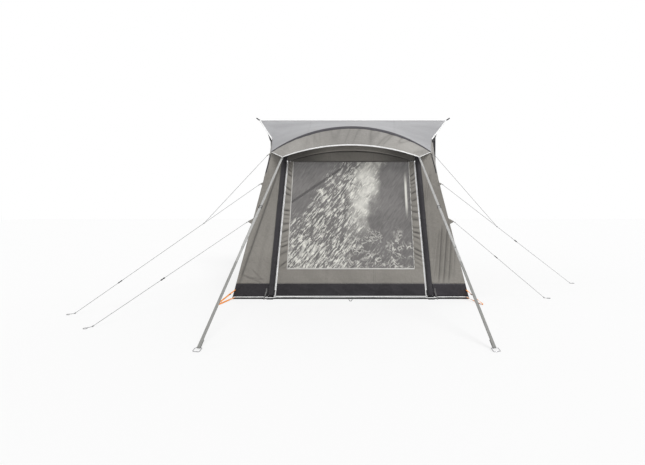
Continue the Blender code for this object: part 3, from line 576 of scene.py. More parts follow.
for name, side in SIDES:
    points = []
    for t in spread(0.0, 1.0, 26):
        lift = UP * 0.0012 * math.sin(19 * t + side)
        points.append(mirrored(wing_foot.lerp(WING_OUTER, t) + away * PIPING_R + lift, side))
    piping("roof_piping_%s_cord" % name, points, "roof_piping_" + name)

    def roof_tape_point(u, v, side=side):
        back = WING_START + 0.02 + (0.975 - WING_START) * v
        wide = (roof_point(1, back) - roof_point(0.5 + 0.5 / (1 + WING_SHARE), back)).length
        past = max(0.0, 1 - ROOF_TAPE * (1 - u) / wide)
        across = 0.5 + side * 0.5 * (1 + WING_SHARE * past) / (1 + WING_SHARE)
        return roof_point(across, back) + mirrored(skyward, side) * ROOF_TAPE_LIFT

    sew_tape("roof_piping_%s_tape" % name, 60, (ROOF_TAPE, 1.38), roof_tape_point)

# Rail tabs: short loops of black webbing sewn to the bead's ends, by which the roof is pulled
# along the rail.
RAIL_TAB_ROOT = Vector((1.526, SHEET_REAR - 0.006, RAIL_Z + 0.001))
RAIL_TAB_STEPS = ((0, 0, 0), (0.020, -0.002, 0.010), (0.048, -0.003, 0.030), (0.056, -0.001, 0.036))
RAIL_TAB_ACROSS = Vector((-0.011, 0.004, 0.015))
webbing_black, wire = finish("black_webbing", Roughness=0.8, Sheen_Weight=0.2)
cut = wire.sewn()
rib = cut.part(0).ribs(0.003) * cut.part(1).ribs(0.0025)
rib.fade(-1.0, 1.0).mix((0.010, 0.010, 0.012), (0.035, 0.035, 0.04)).feed("Base Color")
rib.emboss(0.8, 0.0005)


def walk(path):
    """at(share) gives a place that far along the path, and the way of the stretch that it lies on."""
    marks = marks_along(path)

    def at(share):
        gone = share * marks[-1]
        k = max(i for i in range(len(path) - 1) if marks[i] <= gone + 1e-9)
        t = min(1.0, (gone - marks[k]) / (marks[k + 1] - marks[k]))
        return path[k].lerp(path[k + 1], t), (path[k + 1] - path[k]).normalized()

    return at


for name, side in SIDES:
    path = [mirrored(RAIL_TAB_ROOT + Vector(step), side) for step in RAIL_TAB_STEPS]

    def rail_tab_point(u, v, at=walk(path), across=mirrored(RAIL_TAB_ACROSS, side)):
        return at(v)[0] + across * (u - 0.5)

    cut = (RAIL_TAB_ACROSS.length, marks_along(path)[-1])
    dress(lay_cloth("rail_tab_" + name, 4, 12, cut, rail_tab_point, webbing_black, "black_hem", thick=0.004))

# Bead at the roof's rear edge: a white plastic cord in a sleeve of white tape,
# which slides into an awning rail. The solid already has its shape.
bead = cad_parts["keder_bead"].data.materials
bead.clear()
bead.append(piping_finish)

# Visor: a lighter cloth peak sewn to the arch, which hangs forward over the window.
# Its free edge ends in the same white piping as the roof's.
VISOR_HALF = 0.771
VISOR_RISE = 0.126
VISOR_Z = 1.700
VISOR_FORWARD = 0.050
VISOR_R = (VISOR_HALF**2 + VISOR_RISE**2) / (2 * VISOR_RISE)
VISOR_SWEEP = math.asin(VISOR_HALF / VISOR_R)
VISOR_OUT = Vector((0, -0.7, 0.7))
VISOR_CUT = (1.98, 0.36)
VISOR_TAPE_CUT = (0.0115, 1.545)


def visor_edge(s):
    """The visor's free front edge."""
    x = VISOR_R * math.sin(s * VISOR_SWEEP)
    z = VISOR_Z - VISOR_R + VISOR_R * math.cos(s * VISOR_SWEEP)
    return Vector((x, FRONT_Y + VISOR_FORWARD * (1 + (x / VISOR_HALF) ** 2), z))


def visor_fall(s):
    """The way that the visor hangs from the arch."""
    return (visor_edge(s) - arch(s)).normalized()


def visor_hollow(u, v):
    """Short slanting wrinkles down the visor, more of them towards the right."""
    s = 2 * u - 1
    lines = crease(s * 8.0 + v * 0.7, v * 0.35, 1.0, 17.0, sharp=12)
    rightward = 0.35 + 0.65 * ease((s + 0.6) / 1.2)
    return min(1.0, lines * rightward * math.sin(math.pi * min(1.0, v + 0.02)) ** 0.5)


def visor_painted_shade(u, v):
    """Painted shade: the wrinkles, and the steeper middle of the peak, which faces more down and away from
    the sky, painted a little darker.
    """
    return min(1.0, 0.66 * visor_hollow(u, v) + 0.5 * (1 - ease(abs(2 * u - 1) / 0.8)))


def visor_point(u, v):
    s = 2 * u - 1
    p = arch(s).lerp(visor_edge(s), part_way(0.006, 1.0, v))
    loose = math.sin(math.pi * v) ** 0.8
    puff = 0.004 + 0.0055 * ripple(s * 1.2, v * 0.15, 9.0, 2.0)
    puff += 0.004 * crease(s * 1.1 + v * 0.06, v * 0.1, 8.0, 5.0)
    puff = puff * loose - 0.004 * visor_hollow(u, v)
    return p + VISOR_OUT * puff * ease((1 - abs(s)) / 0.05)


def visor_tape_point(u, v):
    along = part_way(0.008, 0.992, v)
    off = visor_fall(2 * along - 1) * 0.0015 * u + VISOR_OUT * 0.0022
    return visor_point(along, part_way(0.970, 1.0, u)) + off


visor_colours = ((0.250, 0.239, 0.222), (0.366, 0.353, 0.333))
visor_finish = cloth_finish("visor_cloth", *visor_colours, 0.78, [(1, 0.338)], creases=1.2, painted_shade_strength=0.6)
cloth = ("visor_cloth", 240, 24, VISOR_CUT, visor_point, visor_finish, "visor_cloth")
dress(lay_cloth(*cloth, painted_shade=visor_painted_shade), node="visor", flat=VISOR_CUT, rests_on=["arch_band"])
points = [arch(-1).lerp(visor_edge(-1), t) for t in spread(0.02, 0.97, 8)]
points += [visor_edge(s) + visor_fall(s) * (PIPING_R + 0.0002) for s in spread(-1, 1, 90)]
points += [arch(1).lerp(visor_edge(1), t) for t in spread(0.97, 0.02, 8)]
piping("visor_piping_cord", points, "visor_piping")
sew_tape("visor_piping_tape", 200, VISOR_TAPE_CUT, visor_tape_point)

# Ridge band: charcoal tape folded over the seam between roof and visor, narrower towards the eaves,
# and sewn along both its edges.
BAND_BACK = 0.017
BAND_FALL = 0.048
BAND_FOLD = 0.42
BAND_CUT = (2.0, 0.057)
BAND_THICK = 0.0014


def band_point(u, v):
    s = 2 * u - 1
    tangent = (arch(s + 0.01) - arch(s - 0.01)).normalized()
    taper = 0.35 + 0.65 * ease((1 - abs(s)) / 0.55)
    run = (v - BAND_FOLD) / (1 - BAND_FOLD if v > BAND_FOLD else BAND_FOLD)
    fold = arch(s) - UP * 0.0015 * (1 - min(1.0, abs(run) * 4))
    if run < 0:
        back = (rail(s) - arch(s)).normalized()
        return fold - back * run * BAND_BACK * taper + tangent.cross(back).normalized() * 0.0024
    fall = visor_fall(s)
    return fold + fall * run * BAND_FALL * taper + fall.cross(tangent).normalized() * 0.0045


band_colours = ((0.036, 0.034, 0.040), (0.060, 0.057, 0.066))
band_finish = cloth_finish("band_cloth", *band_colours, 0.75, creases=0.3, gloss=0.4)
band = lay_cloth("ridge_band", 120, 12, BAND_CUT, band_point, band_finish, "dark_cloth", thick=BAND_THICK)
dress(band, node="arch_band", flat=BAND_CUT, rests_on=["roof_cloth"], area=0.085)

# Beam sleeve: charcoal coated polyester round the inflated tube, soft and a little loose on the legs,
# sewn along its back to the seams of the front. One tube runs up a leg, over the arch
# and down the other leg.
BEAM_R = 0.032
BEAM_OFF_VISOR = 0.0021
LEG_FOOT_X = 0.877
LEG_HEAD_X = 0.774
LEG_HEAD = 1.577
SLEEVE_FOOT = 0.0385
BEND = 0.140
SLEEVE_CUT = (0.20, 4.95)
OUT = front(0, 0, 1) - front(0, 0)
ALONG = front(0, 1) - front(0, 0)


def leg_x(h):
    """How far out the leg's middle stands at height h up the front's slope."""
    return part_way(LEG_FOOT_X, LEG_HEAD_X, h / LEG_HEAD)


BEAM_ARCH_R = ARCH_R - (BEAM_R + BEAM_OFF_VISOR) / math.sin((visor_edge(0) - arch(0)).angle(-ALONG))


def beam_arc(angle):
    return Vector((BEAM_ARCH_R * math.sin(angle), ARCH_CENTRE + BEAM_ARCH_R * math.cos(angle)))


# The leg's straight line and the beam's arc cross where a square equation in the height is zero.
slope = (LEG_HEAD_X - LEG_FOOT_X) / LEG_HEAD
squared = 1 + slope**2
linear = 2 * (slope * LEG_FOOT_X - ARCH_CENTRE)
constant = LEG_FOOT_X**2 + ARCH_CENTRE**2 - BEAM_ARCH_R**2
CORNER_H = (math.sqrt(linear**2 - 4 * squared * constant) - linear) / (2 * squared)
corner = Vector((leg_x(CORNER_H), CORNER_H))
bend_start = Vector((leg_x(CORNER_H - BEND), CORNER_H - BEND))
end_angle = math.atan2(corner.x, corner.y - ARCH_CENTRE) - BEND / BEAM_ARCH_R
bend_end = beam_arc(end_angle)
half_beam = [Vector((leg_x(h), h)) for h in spread(SLEEVE_FOOT, CORNER_H - BEND - 0.010, 130)]
half_beam += [bend_start.lerp(corner, t).lerp(corner.lerp(bend_end, t), t) for t in spread(0, 1, 18)]
over = [beam_arc(angle) for angle in spread(end_angle, -end_angle, 92)[1:-1]]
beam_line = half_beam + over + [Vector((-p.x, p.y)) for p in reversed(half_beam)]
beam_path = [front(p.x, p.y) for p in beam_line]
beam_marks = marks_along(beam_path)


def hose(name, path, normal, radius_at, sides, finish_used, slot, capped=False):
    """A tube along a path: a cut rolled up ring by ring, which radius_at(i, angle) shapes."""
    rows = len(path) - 1
    marks = marks_along(path)
    bm = flat_cut(sides, rows, lambda u, v: (u * SLEEVE_CUT[0], marks[round(v * rows)]))

    def ring_point(u, v):
        i = round(v * rows)
        tangent = (path[min(i + 1, rows)] - path[max(i - 1, 0)]).normalized()
        angle = 2 * math.pi * u
        way = normal * math.cos(angle) + tangent.cross(normal).normalized() * math.sin(angle)
        return path[i] + way * radius_at(i, angle)

    hang(bm, ring_point)
    if capped:
        bmesh.ops.holes_fill(bm, edges=[edge for edge in bm.edges if edge.is_boundary], sides=0)
    return put(name, bm, finish_used)


def drift(angle, reach, along):
    """Smooth random height round a tube, from -1 to 1."""
    return noise.noise(Vector((math.cos(angle) * reach, math.sin(angle) * reach, along)))


def sleeve_radius(i, angle):
    """Loose cloth round a firm tube: long soft folds that drift round it, and short puckers."""
    along = beam_marks[i]
    loose = 0.0016 * drift(angle, 0.9, along * 2.2) + 0.0009 * drift(angle, 1.6, along * 11.0)
    return BEAM_R - 0.0022 + loose + 0.0024 * (1 - abs(drift(angle, 1.1, along * 1.3 + 7.0))) ** 5


sleeve_colours = ((0.012, 0.011, 0.0133), (0.030, 0.0275, 0.032))
sleeve_finish = cloth_finish("sleeve_cloth", *sleeve_colours, 0.60, creases=1.8, gloss=0.36)
sleeve = hose("beam_sleeve_cloth", beam_path, OUT, sleeve_radius, 28, sleeve_finish, "dark_cloth")
dress(thicken(sleeve, CLOTH), node="beam_sleeve", flat=SLEEVE_CUT, rests_on=["inflated_beam"])

# Inflated beam: a welded white film tube, round and firm under pressure,
# seen only at the sleeve's open feet.
TUBE_R = BEAM_R - 0.0050
beam_finish, wire = finish("beam_film", Roughness=0.35)
where = wire.stood()
where.clouds(20.0).fade(0.3, 0.7).mix((0.62, 0.62, 0.61), (0.75, 0.75, 0.74)).feed("Base Color")
where.clouds(35.0).emboss(0.4, 0.002)
tube = beam_path[::4]
beam = hose("inflated_beam", tube, OUT, lambda i, angle: TUBE_R, 20, beam_finish, "beam_film", capped=True)
dress(beam, node="air_beam")

# Beam feet: moulded black plastic cups under the legs, with a ribbed sole that stands on the ground
# and a collar round the tube.
FOOT_X = 0.882
CUP = (0.078, 0.056, 0.024)
CUP_Z = 0.0125
COLLAR_H = 0.030
# A cone's radius below and above, its height and its number of sides.
COLLAR = (0.030, 0.027, 0.010, 28)
RIB = (0.006, 0.058, 0.012)
RIB_Z = 0.0065
RIB_PLACES = (-0.024, -0.008, 0.008, 0.024)
plastic_black, wire = finish("black_plastic")
where = wire.stood()
dust = where.clouds(30.0, 5.0)
dust.fade(0.35, 0.8).mix((0.012, 0.012, 0.013), (0.028, 0.028, 0.03)).feed("Base Color")
(dust * 0.2 + 0.35).feed("Roughness")
where.clouds(900.0, 1.0).emboss(0.3, 0.0003)


def block(bm, size, place, softened, segments=2):
    """A box of that size put at place, with its edges rounded."""
    made = bmesh.ops.create_cube(bm, size=1)["verts"]
    bmesh.ops.scale(bm, vec=size, verts=made)
    bmesh.ops.translate(bm, vec=place, verts=made)
    edges = list({edge for vert in made for edge in vert.link_edges})
    bevel = {"segments": segments, "profile": 0.5, "affect": "EDGES", "material": -1}
    bmesh.ops.bevel(bm, geom=edges, offset=softened, **bevel)


def cone(bm, low_r, high_r, depth, segments, place):
    radii = {"radius1": low_r, "radius2": high_r, "depth": depth}
    made = bmesh.ops.create_cone(bm, cap_ends=True, segments=segments, **radii)["verts"]
    bmesh.ops.translate(bm, vec=place, verts=made)


def moulding(name, bm, body="awning", node=None):
    """A moulded plastic piece, shaded smooth but for its flats."""
    piece = put(name, bm, plastic_black)
    piece.modifiers.new("smooth", "WEIGHTED_NORMAL")
    dress(piece, body, node)


for name, side in SIDES:
    bm = bmesh.new()
    block(bm, CUP, (side * FOOT_X, FRONT_Y, CUP_Z), 0.006, 3)
    collar_at = front(side * leg_x(COLLAR_H), COLLAR_H) + UP * 0.0005
    cone(bm, *COLLAR, collar_at)
    for place in RIB_PLACES:
        block(bm, RIB, (side * FOOT_X + place, FRONT_Y, RIB_Z), 0.0015)
    moulding("beam_foot_%s_cup" % name, bm, node="beam_foot_" + name)

# Air valve on the back of the left leg: a moulded body welded to the tube, and a screw cap
# with ridges round its edge for a grip.
VALVE_H = 0.300
VALVE = front(-leg_x(VALVE_H), VALVE_H, -(BEAM_R + 0.0003))
SEAT = (0.018, 0.0165, 0.010, 36)
CAP_R = 0.0212
CAP_TALL = 0.012
RIDGE_OUT = 1.035


def turn_to(bm, turn, place):
    bmesh.ops.rotate(bm, matrix=turn, verts=bm.verts)
    bmesh.ops.translate(bm, vec=place, verts=bm.verts)


turn_back = UP.rotation_difference(-OUT).to_matrix()
bm = bmesh.new()
cone(bm, *SEAT, (0, 0, 0.005))
turn_to(bm, turn_back, VALVE)
dress(put("valve_seat", bm, plastic_black, smooth=False), node="valve_body")
bm = bmesh.new()
cone(bm, CAP_R, CAP_R, CAP_TALL, 48, (0, 0, 0.0163))
uprights = [edge for edge in bm.edges if abs(edge.verts[0].co.z - edge.verts[1].co.z) > 0.005]
for upright in uprights[::2]:
    bmesh.ops.scale(bm, vec=(RIDGE_OUT, RIDGE_OUT, 1), verts=list(upright.verts))
turn_to(bm, turn_back, VALVE)
dress(put("valve_screw_cap", bm, plastic_black, smooth=False), "valve_cap", "valve_cap")

# Front panel: the cloth between the zips, with a band below the window, a band above it that
# follows the arch, and a gathered strip up each side, drawn in by elastic so that it ruffles.
# It carries the clear window.
CLOTH_FOOT = 0.1673
WINDOW_FOOT = 0.3286
WINDOW_HEAD = 1.556
WINDOW_FOOT_HALF = 0.707
WINDOW_HEAD_HALF = 0.668
PANEL_CENTRE = 1.680
PANEL_SHOULDER = 1.552
HALF_ZIP = 0.0043
STRIP_COLUMNS = 9
MIDDLE_COLUMNS = 34
LOW_ROWS = 12
WINDOW_ROWS = 300
HIGH_ROWS = 8
PANEL_COLUMNS = 2 * STRIP_COLUMNS + MIDDLE_COLUMNS
PANEL_ROWS = LOW_ROWS + WINDOW_ROWS + HIGH_ROWS
RUFFLE_OUT = 0.0125
PANEL_CUT = (1.64, 1.52)
FLANGE_FOOT = 0.036
FLANGE_CUT = (0.010, 1.51)
WALL_DARK = (0.180, 0.169, 0.152)
WALL_LIGHT = (0.262, 0.248, 0.225)


def zip_x(h):
    return leg_x(h) - BEAM_R - HALF_ZIP


def panel_x(h):
    return zip_x(h) - HALF_ZIP


def window_x(h):
    return part_way(WINDOW_FOOT_HALF, WINDOW_HEAD_HALF, (h - WINDOW_FOOT) / (WINDOW_HEAD - WINDOW_FOOT))


def panel_head(x):
    """The arched top edge of the panel."""
    return PANEL_CENTRE - (PANEL_CENTRE - PANEL_SHOULDER) * (x / panel_x(PANEL_SHOULDER)) ** 2


def gathers(h, side, share):
    """How far a ruffle stands out: uneven waves about 60 mm apart, which fan out from the strip's middle."""
    middle = (WINDOW_FOOT + WINDOW_HEAD) / 2
    h -= share * (0.125 * (h - middle) + 0.012 * math.sin(h * 17 + side))
    phase = h * 98 + 2.1 * math.sin(h * 9.0 + side) + 1.5 * math.sin(h * 23.0 + 2 * side)
    sharp = math.sin(phase + 0.7 * math.sin(phase))
    return 0.5 + 0.5 * sharp * (0.75 + 0.25 * math.sin(h * 31 + side * 4))


def ruffle(h, side, share):
    """How far the gathered strip stands out at a share of its width, and how much painted shade it gets
    there, deep in a fold.
    """
    ends = ease((h - WINDOW_FOOT + 0.01) / 0.06) * ease((WINDOW_HEAD - h + 0.01) / 0.06)
    swing = ends * math.sin(math.pi * min(1.0, share * 0.86 + 0.07)) ** 0.7
    stand = gathers(h, side, share)
    return swing * RUFFLE_OUT * stand, swing * ease((0.42 - stand) / 0.40)


def low_slack(x, h):
    """How far the band below the window stands out."""
    up = (h - CLOTH_FOOT) / (WINDOW_FOOT - CLOTH_FOOT)
    low = math.sin(math.pi * max(0.0, min(1.0, up)))
    return 0.003 * low * ripple(x, h, 6.0, 21.0) + 0.004 * low * crease(x * 1.3 + h * 1.8, h * 0.7, 4.0, 23.0)


def shaded_head(x):
    """Painted shade: the cloth under the visor is painted darker towards both legs, where it lies deeper in
    the visor's shade.
    """
    return 0.8 * ease((abs(x) - 0.20) / 0.36)


def panel_place(u, v):
    """Where a point of the panel lies across and up the front, how far out, and how much painted shade it
    gets, in a fold or under the visor.
    """
    column = u * PANEL_COLUMNS
    row = v * PANEL_ROWS
    if row < LOW_ROWS:
        h = part_way(CLOTH_FOOT, WINDOW_FOOT, row / LOW_ROWS)
    else:
        h = part_way(WINDOW_FOOT, WINDOW_HEAD, min(1.0, (row - LOW_ROWS) / WINDOW_ROWS))
    edge_h = min(h, PANEL_SHOULDER)
    inner = window_x(max(h, WINDOW_FOOT))
    side, share = 0, 0.0
    if column < STRIP_COLUMNS:
        side, share = -1, 1 - column / STRIP_COLUMNS
    elif column > STRIP_COLUMNS + MIDDLE_COLUMNS:
        side, share = 1, (column - STRIP_COLUMNS - MIDDLE_COLUMNS) / STRIP_COLUMNS
    if side:
        x = side * part_way(inner, panel_x(edge_h), share)
    else:
        x = inner * (2 * (column - STRIP_COLUMNS) / MIDDLE_COLUMNS - 1)
    if row > LOW_ROWS + WINDOW_ROWS:
        up = (row - LOW_ROWS - WINDOW_ROWS) / HIGH_ROWS
        h = part_way(WINDOW_HEAD, panel_head(x), up)
        if abs(x) > inner:
            h = part_way(h, edge_h, share)
    out = 0.0
    deep = 0.0
    if side and LOW_ROWS - 1 < row < LOW_ROWS + WINDOW_ROWS + 1:
        out, deep = ruffle(h, side, share)
    if row <= LOW_ROWS:
        out = low_slack(x, h)
    if row > LOW_ROWS + WINDOW_ROWS:
        deep = shaded_head(x)
    return x, h, out, deep


def outside_window(u, v):
    column = u * PANEL_COLUMNS
    row = v * PANEL_ROWS
    beside = not STRIP_COLUMNS < column < STRIP_COLUMNS + MIDDLE_COLUMNS
    return beside or not LOW_ROWS < row < LOW_ROWS + WINDOW_ROWS


panel_seams = [(0, 0.62), (0, 1.02)]
panel_finish = cloth_finish("panel_cloth", WALL_DARK, WALL_LIGHT, seams=panel_seams, creases=0.9, painted_shade_strength=0.88)
panel = lay_cloth(
    "front_panel_cloth",
    PANEL_COLUMNS,
    PANEL_ROWS,
    PANEL_CUT,
    lambda u, v: front(*panel_place(u, v)[:3]),
    panel_finish,
    "wall_cloth",
    keep=outside_window,
    painted_shade=lambda u, v: panel_place(u, v)[3],
)
rests = ["panel_mudwall_cloth"]
dress(panel, "front_panel", "front_panel", PANEL_CUT, "gathered", rests_on=rests, area=0.76)

for name, side in SIDES:

    def flange_point(u, v, side=side):
        h = FLANGE_FOOT + (PANEL_SHOULDER - 0.042) * v
        inward = FLANGE_CUT[0] * (1 - u)
        x = side * (panel_x(h) - inward)
        wide = panel_x(h) - window_x(max(h, WINDOW_FOOT))
        return front(x, h, 0.0015 + ruffle(h, side, 1 - inward / wide)[0] + low_slack(x, h))

    sew_tape("zip_piping_%s_tape" % name, 330, FLANGE_CUT, flange_point, "front_panel")

# Clear window: thin clear film, sewn in behind the cloth all round. Packed away folded, it is full of fine
# creases.
# The light that they catch is painted into its colour as white glints and a painted reflection, thickest in a
# broad patch that runs from the top to the left. Its nearly opaque grey is painted shade, the dim inside seen
# through the film.
WINDOW_OUT = -0.0023
WINDOW_LAP = 0.012
FILM = 0.0005
FILM_BUCKLE = 0.003
FILM_CREASE = 0.002
FILM_CUT = (1.41, 1.251)


def film_point(u, v):
    h = part_way(WINDOW_FOOT - WINDOW_LAP, WINDOW_HEAD + WINDOW_LAP, v)
    x = (window_x(h) + WINDOW_LAP) * (2 * u - 1)
    loose = min(1.0, 12 * u, 12 * (1 - u), 12 * v, 12 * (1 - v))
    buckle = 0.5 + 0.5 * ripple(x - 0.6 * h, h * 0.35 + x * 0.4, 5.0, 31.0)
    fold = crease(x * 1.3 - h * 0.9, h * 0.25 + x * 0.3, 5.0, 33.0)
    return front(x, h, WINDOW_OUT - loose * (FILM_BUCKLE * buckle + FILM_CREASE * fold))


film_finish, wire = finish("clear_film", Roughness=0.12, Specular_IOR_Level=0.5, IOR=1.45)
cut = wire.sewn()
across = cut.part(0) / FILM_CUT[0]
up = cut.part(1) / FILM_CUT[1]
wander = cut.clouds(5.0, 4.0) - 0.5
left_bound = across - up * 0.69 + 0.31 + wander * 0.35
right_bound = across - up * 0.30 - 0.49 + wander * 0.30
busy = left_bound.fade(-0.04, 0.12) * (1 - right_bound.fade(-0.12, 0.08))
core_width = up * 0.05 + 0.035
core = 1 - ((across - up * 0.19 - 0.485 + wander * 0.25).size() - core_width).fade(-0.05, 0.07)
core = core * up.fade(0.20, 0.60)
low_right = (1 - (up + wander * 0.3).fade(0.08, 0.40)) * (1 - across.fade(0.88, 0.98))
low_left = (1 - (up + across * 0.8).fade(0.06, 0.30)) * 0.35
slanted = {"Vector": cut, "Rotation": (0, 0, math.radians(-54))}
drawn = {"Vector": wire.node("ShaderNodeMapping", None, slanted), "Scale": (1.0, 5.2, 1.0)}
drawn = wire.node("ShaderNodeMapping", None, drawn)
streaks = drawn.clouds(10.5, 3.0, 0.8)
fine = drawn.clouds(25.0, 3.0, 1.2)
clumps = cut.clouds(9.0, 3.0, 0.5)
creased = streaks * 0.62 + fine * 0.38 + (clumps - 0.5) * 0.24
thick = busy * 0.082 + low_right * 0.030 + core * 0.060 + low_left * 0.10
# Painted glints: white marks where the slanting crease streaks rise high, for the light that the creases
# catch.
painted_glints = (creased + thick).fade(0.580, 0.655)
gleam = cut.clouds(16.0).fade(0.36, 0.62) * 0.4 + 0.6
white = painted_glints * gleam * (busy * 0.9 + core + low_right * 0.55 + 0.12).fade(0.0, 1.0)
# Painted reflection: a smooth whitish patch in the core; then painted curl glints low on the right and a
# painted edge glint.
painted_reflection = core * (clumps * 1.3 + fine * 0.5 - 0.25).fade(0.0, 1.0)
curl = 1 - (cut.clouds(11.0, 3.0, 1.6) * 2 - 1).size()
painted_curl_glints = curl.fade(0.88, 0.97) * (1 - (up + wander * 0.5).fade(0.24, 0.44)) * across.fade(0.38, 0.55)
painted_curl_glints = painted_curl_glints * cut.clouds(7.0, 2.0).fade(0.40, 0.58) * 0.75
painted_edge_glint = (1 - (across - 0.955).size().fade(0.004, 0.014)) * (1 - (up - 0.68).size().fade(0.06, 0.24))
white = white.or_more(painted_reflection).or_more(painted_curl_glints).or_more(painted_edge_glint)
# Painted shade: a dark line along one crease.
painted_crease_shade = 1 - ((up - 0.60) - across * 0.78).size().fade(0.006, 0.020)
painted_crease_shade = painted_crease_shade * (1 - across.fade(0.40, 0.44))
# Painted shade: a grey for the dim inside seen through the film, darker between the streaks.
grey = (cut.clouds(3.0, 3.0, 0.5) * 0.6 + streaks * 0.8 - 0.2).fade(0.2, 0.8)
painted_inside_shade = painted_crease_shade.mix(grey.mix((0.105, 0.099, 0.096), (0.205, 0.195, 0.19)), (0.06, 0.055, 0.055))
# The colour: painted glints and reflection in white over the painted grey.
white.mix(painted_inside_shade, (0.70, 0.69, 0.64)).feed("Base Color")
(white * 0.18 + 0.80).feed("Alpha")
(white * 0.25 + 0.10).feed("Roughness")
(streaks * 0.004 + fine * 0.0014 + cut.clouds(6.0, 2.0) * 0.01).emboss(0.8, 1.0)
film = lay_cloth("clear_window", 90, 90, FILM_CUT, film_point, film_finish, "clear_film", thick=FILM)
dress(film, "front_panel", "front_window", FILM_CUT, rests_on=["front_panel_cloth"])

# Window binding: a folded strip of cloth sewn round the opening, which holds the film's edge.
# It is dark at the head and pale on the other three sides.
BINDING = 0.014
BINDING_AREA_SHARE = 0.8


def binding_place(low, high):
    """A strip between two corners of the opening, given as (x share, height), just proud of the panel."""

    def at(u, v):
        x = part_way(low[0], high[0], v)
        h = part_way(low[1], high[1], v)
        puff = 0.0008 * math.sin(math.pi * u)
        if low[1] == high[1]:
            h += (u - 0.5) * BINDING
            return front(window_x(h) * x, h, 0.0022 + puff)
        out = 0.0024 + puff + 0.0006 * math.sin(h * 95)
        return front(window_x(h) * x + (u - 0.5) * BINDING * 0.6, h, out)

    return at


dark_binding = cloth_finish("window_head_binding", (0.075, 0.070, 0.066), (0.115, 0.108, 0.10), creases=0.3)
pale_colours = ((0.46, 0.45, 0.43), (0.62, 0.61, 0.585))
pale_binding = cloth_finish("window_foot_binding", *pale_colours, 0.45, creases=0.3)
for name, low, high, run, used in (
    ("head", (-1, WINDOW_HEAD), (1, WINDOW_HEAD), 1.38, dark_binding),
    ("foot", (-1, WINDOW_FOOT), (1, WINDOW_FOOT), 1.38, pale_binding),
    ("left", (-1, WINDOW_FOOT), (-1, WINDOW_HEAD), 1.227, pale_binding),
    ("right", (1, WINDOW_FOOT), (1, WINDOW_HEAD), 1.227, pale_binding),
):
    cut = (BINDING, run)
    place = binding_place(low, high)
    binding = lay_cloth("window_binding_" + name, 4, 110, cut, place, used, "wall_cloth", thick=TAPE)
    area = BINDING * run * BINDING_AREA_SHARE
    dress(binding, "front_panel", flat=cut, rests_on=["front_panel_cloth"], area=area)

# Mud wall of the panel: charcoal coated cloth that wipes clean, slightly shiny,
# sewn along the panel's foot.
MUDWALL_TOP = 0.167
MUDWALL_FOOT = 0.034
MUDWALL_CUT = (1.66, 0.134)
mud_colours = ((0.010, 0.009, 0.0107), (0.036, 0.0325, 0.038))
mud_finish = cloth_finish("mudwall_cloth", *mud_colours, 0.44, creases=1.2, weave=0.5, gloss=0.28)


def mud_point(u, v):
    h = part_way(MUDWALL_FOOT, MUDWALL_TOP, v)
    x = panel_x(h) * (2 * u - 1)
    loose = math.sin(math.pi * v) * min(1.0, 14 * u, 14 * (1 - u))
    slant = crease(x * 1.5 + h * 2.2, h * 1.4, 3.6, 41.0)
    return front(x, h, loose * (0.0045 * ripple(x, h, 5.0, 43.0) + 0.0055 * slant - 0.001))


mud = lay_cloth("panel_mudwall_cloth", 150, 14, MUDWALL_CUT, mud_point, mud_finish, "dark_cloth")
dress(mud, "front_panel", "panel_mudwall", MUDWALL_CUT, rests_on=["front_panel_cloth"])

# Hems: black webbing on the ground under the panel and round both corners to the rear pads,
# with a white piping in front of it, which goes round the front of each beam foot.
HEM_THICK = 0.0045
HEM_TALL = 0.028
HEM_CORNER = 0.003
FRONT_HEM_HALF = 0.841
SIDE_HEM_START = 0.9226
SIDE_HEM_STOP = REAR_Y - 0.031
HEM_PIPING_R = 0.0036
HEM_PIPING_Z = 0.0238
HEM_PIPING_Y = FRONT_Y - 0.0059
HEM_PIPING_HALF = 1.297
hem_finish, wire = finish("hem_webbing", Roughness=0.8)
where = wire.stood()
where.clouds(22.0, 5.0).fade(0.3, 0.8).mix((0.010, 0.010, 0.012), (0.045, 0.043, 0.042)).feed("Base Color")
(where.part(2).ribs(0.004) + where.clouds(60.0)).emboss(0.6, 0.0006)


def hem_strip(name, places, node, run):
    """A strip of webbing that stands on the ground along a path, with a slack, slightly uneven top edge."""
    path = [Vector((x, y, 0)) for x, y in places]
    total = marks_along(path)[-1]
    at = walk(path)

    def hem_point(u, v):
        p, way = at(v)
        sway = 0.0012 * ripple(v * total, 0.0, 3.0, 51.0) * u
        return p + UP * (0.0006 + 0.0268 * u) + way.cross(UP) * sway

    cut = (HEM_TALL, run)
    hem = lay_cloth(name, 4, int(total / 0.02), cut, hem_point, hem_finish, "black_hem", thick=HEM_THICK)
    dress(hem, node=node, flat=cut)


def hem_piping_point(x):
    round_foot = ease(1 - (abs(abs(x) - FOOT_X) - 0.032) / 0.030)
    return Vector((x, HEM_PIPING_Y - 0.029 * round_foot, HEM_PIPING_Z + 0.0012 * math.sin(x * 7)))


front_hem = [(-FRONT_HEM_HALF, FRONT_Y), (FRONT_HEM_HALF, FRONT_Y)]
hem_strip("front_hem_webbing", front_hem, "base_hem_front", 1.682)
for name, side in SIDES:
    places = [(SIDE_HEM_START, FRONT_Y), (HALF_BASE - HEM_CORNER, FRONT_Y)]
    places += [(HALF_BASE, FRONT_Y + HEM_CORNER), (HALF_BASE, SIDE_HEM_STOP)]
    hem_strip("side_hem_%s_webbing" % name, [(side * x, y) for x, y in places], "base_hem_" + name, 2.345)
points = [hem_piping_point(x) for x in spread(-HEM_PIPING_HALF, HEM_PIPING_HALF, 70)]
piping("front_foot_piping", points, radius=HEM_PIPING_R)

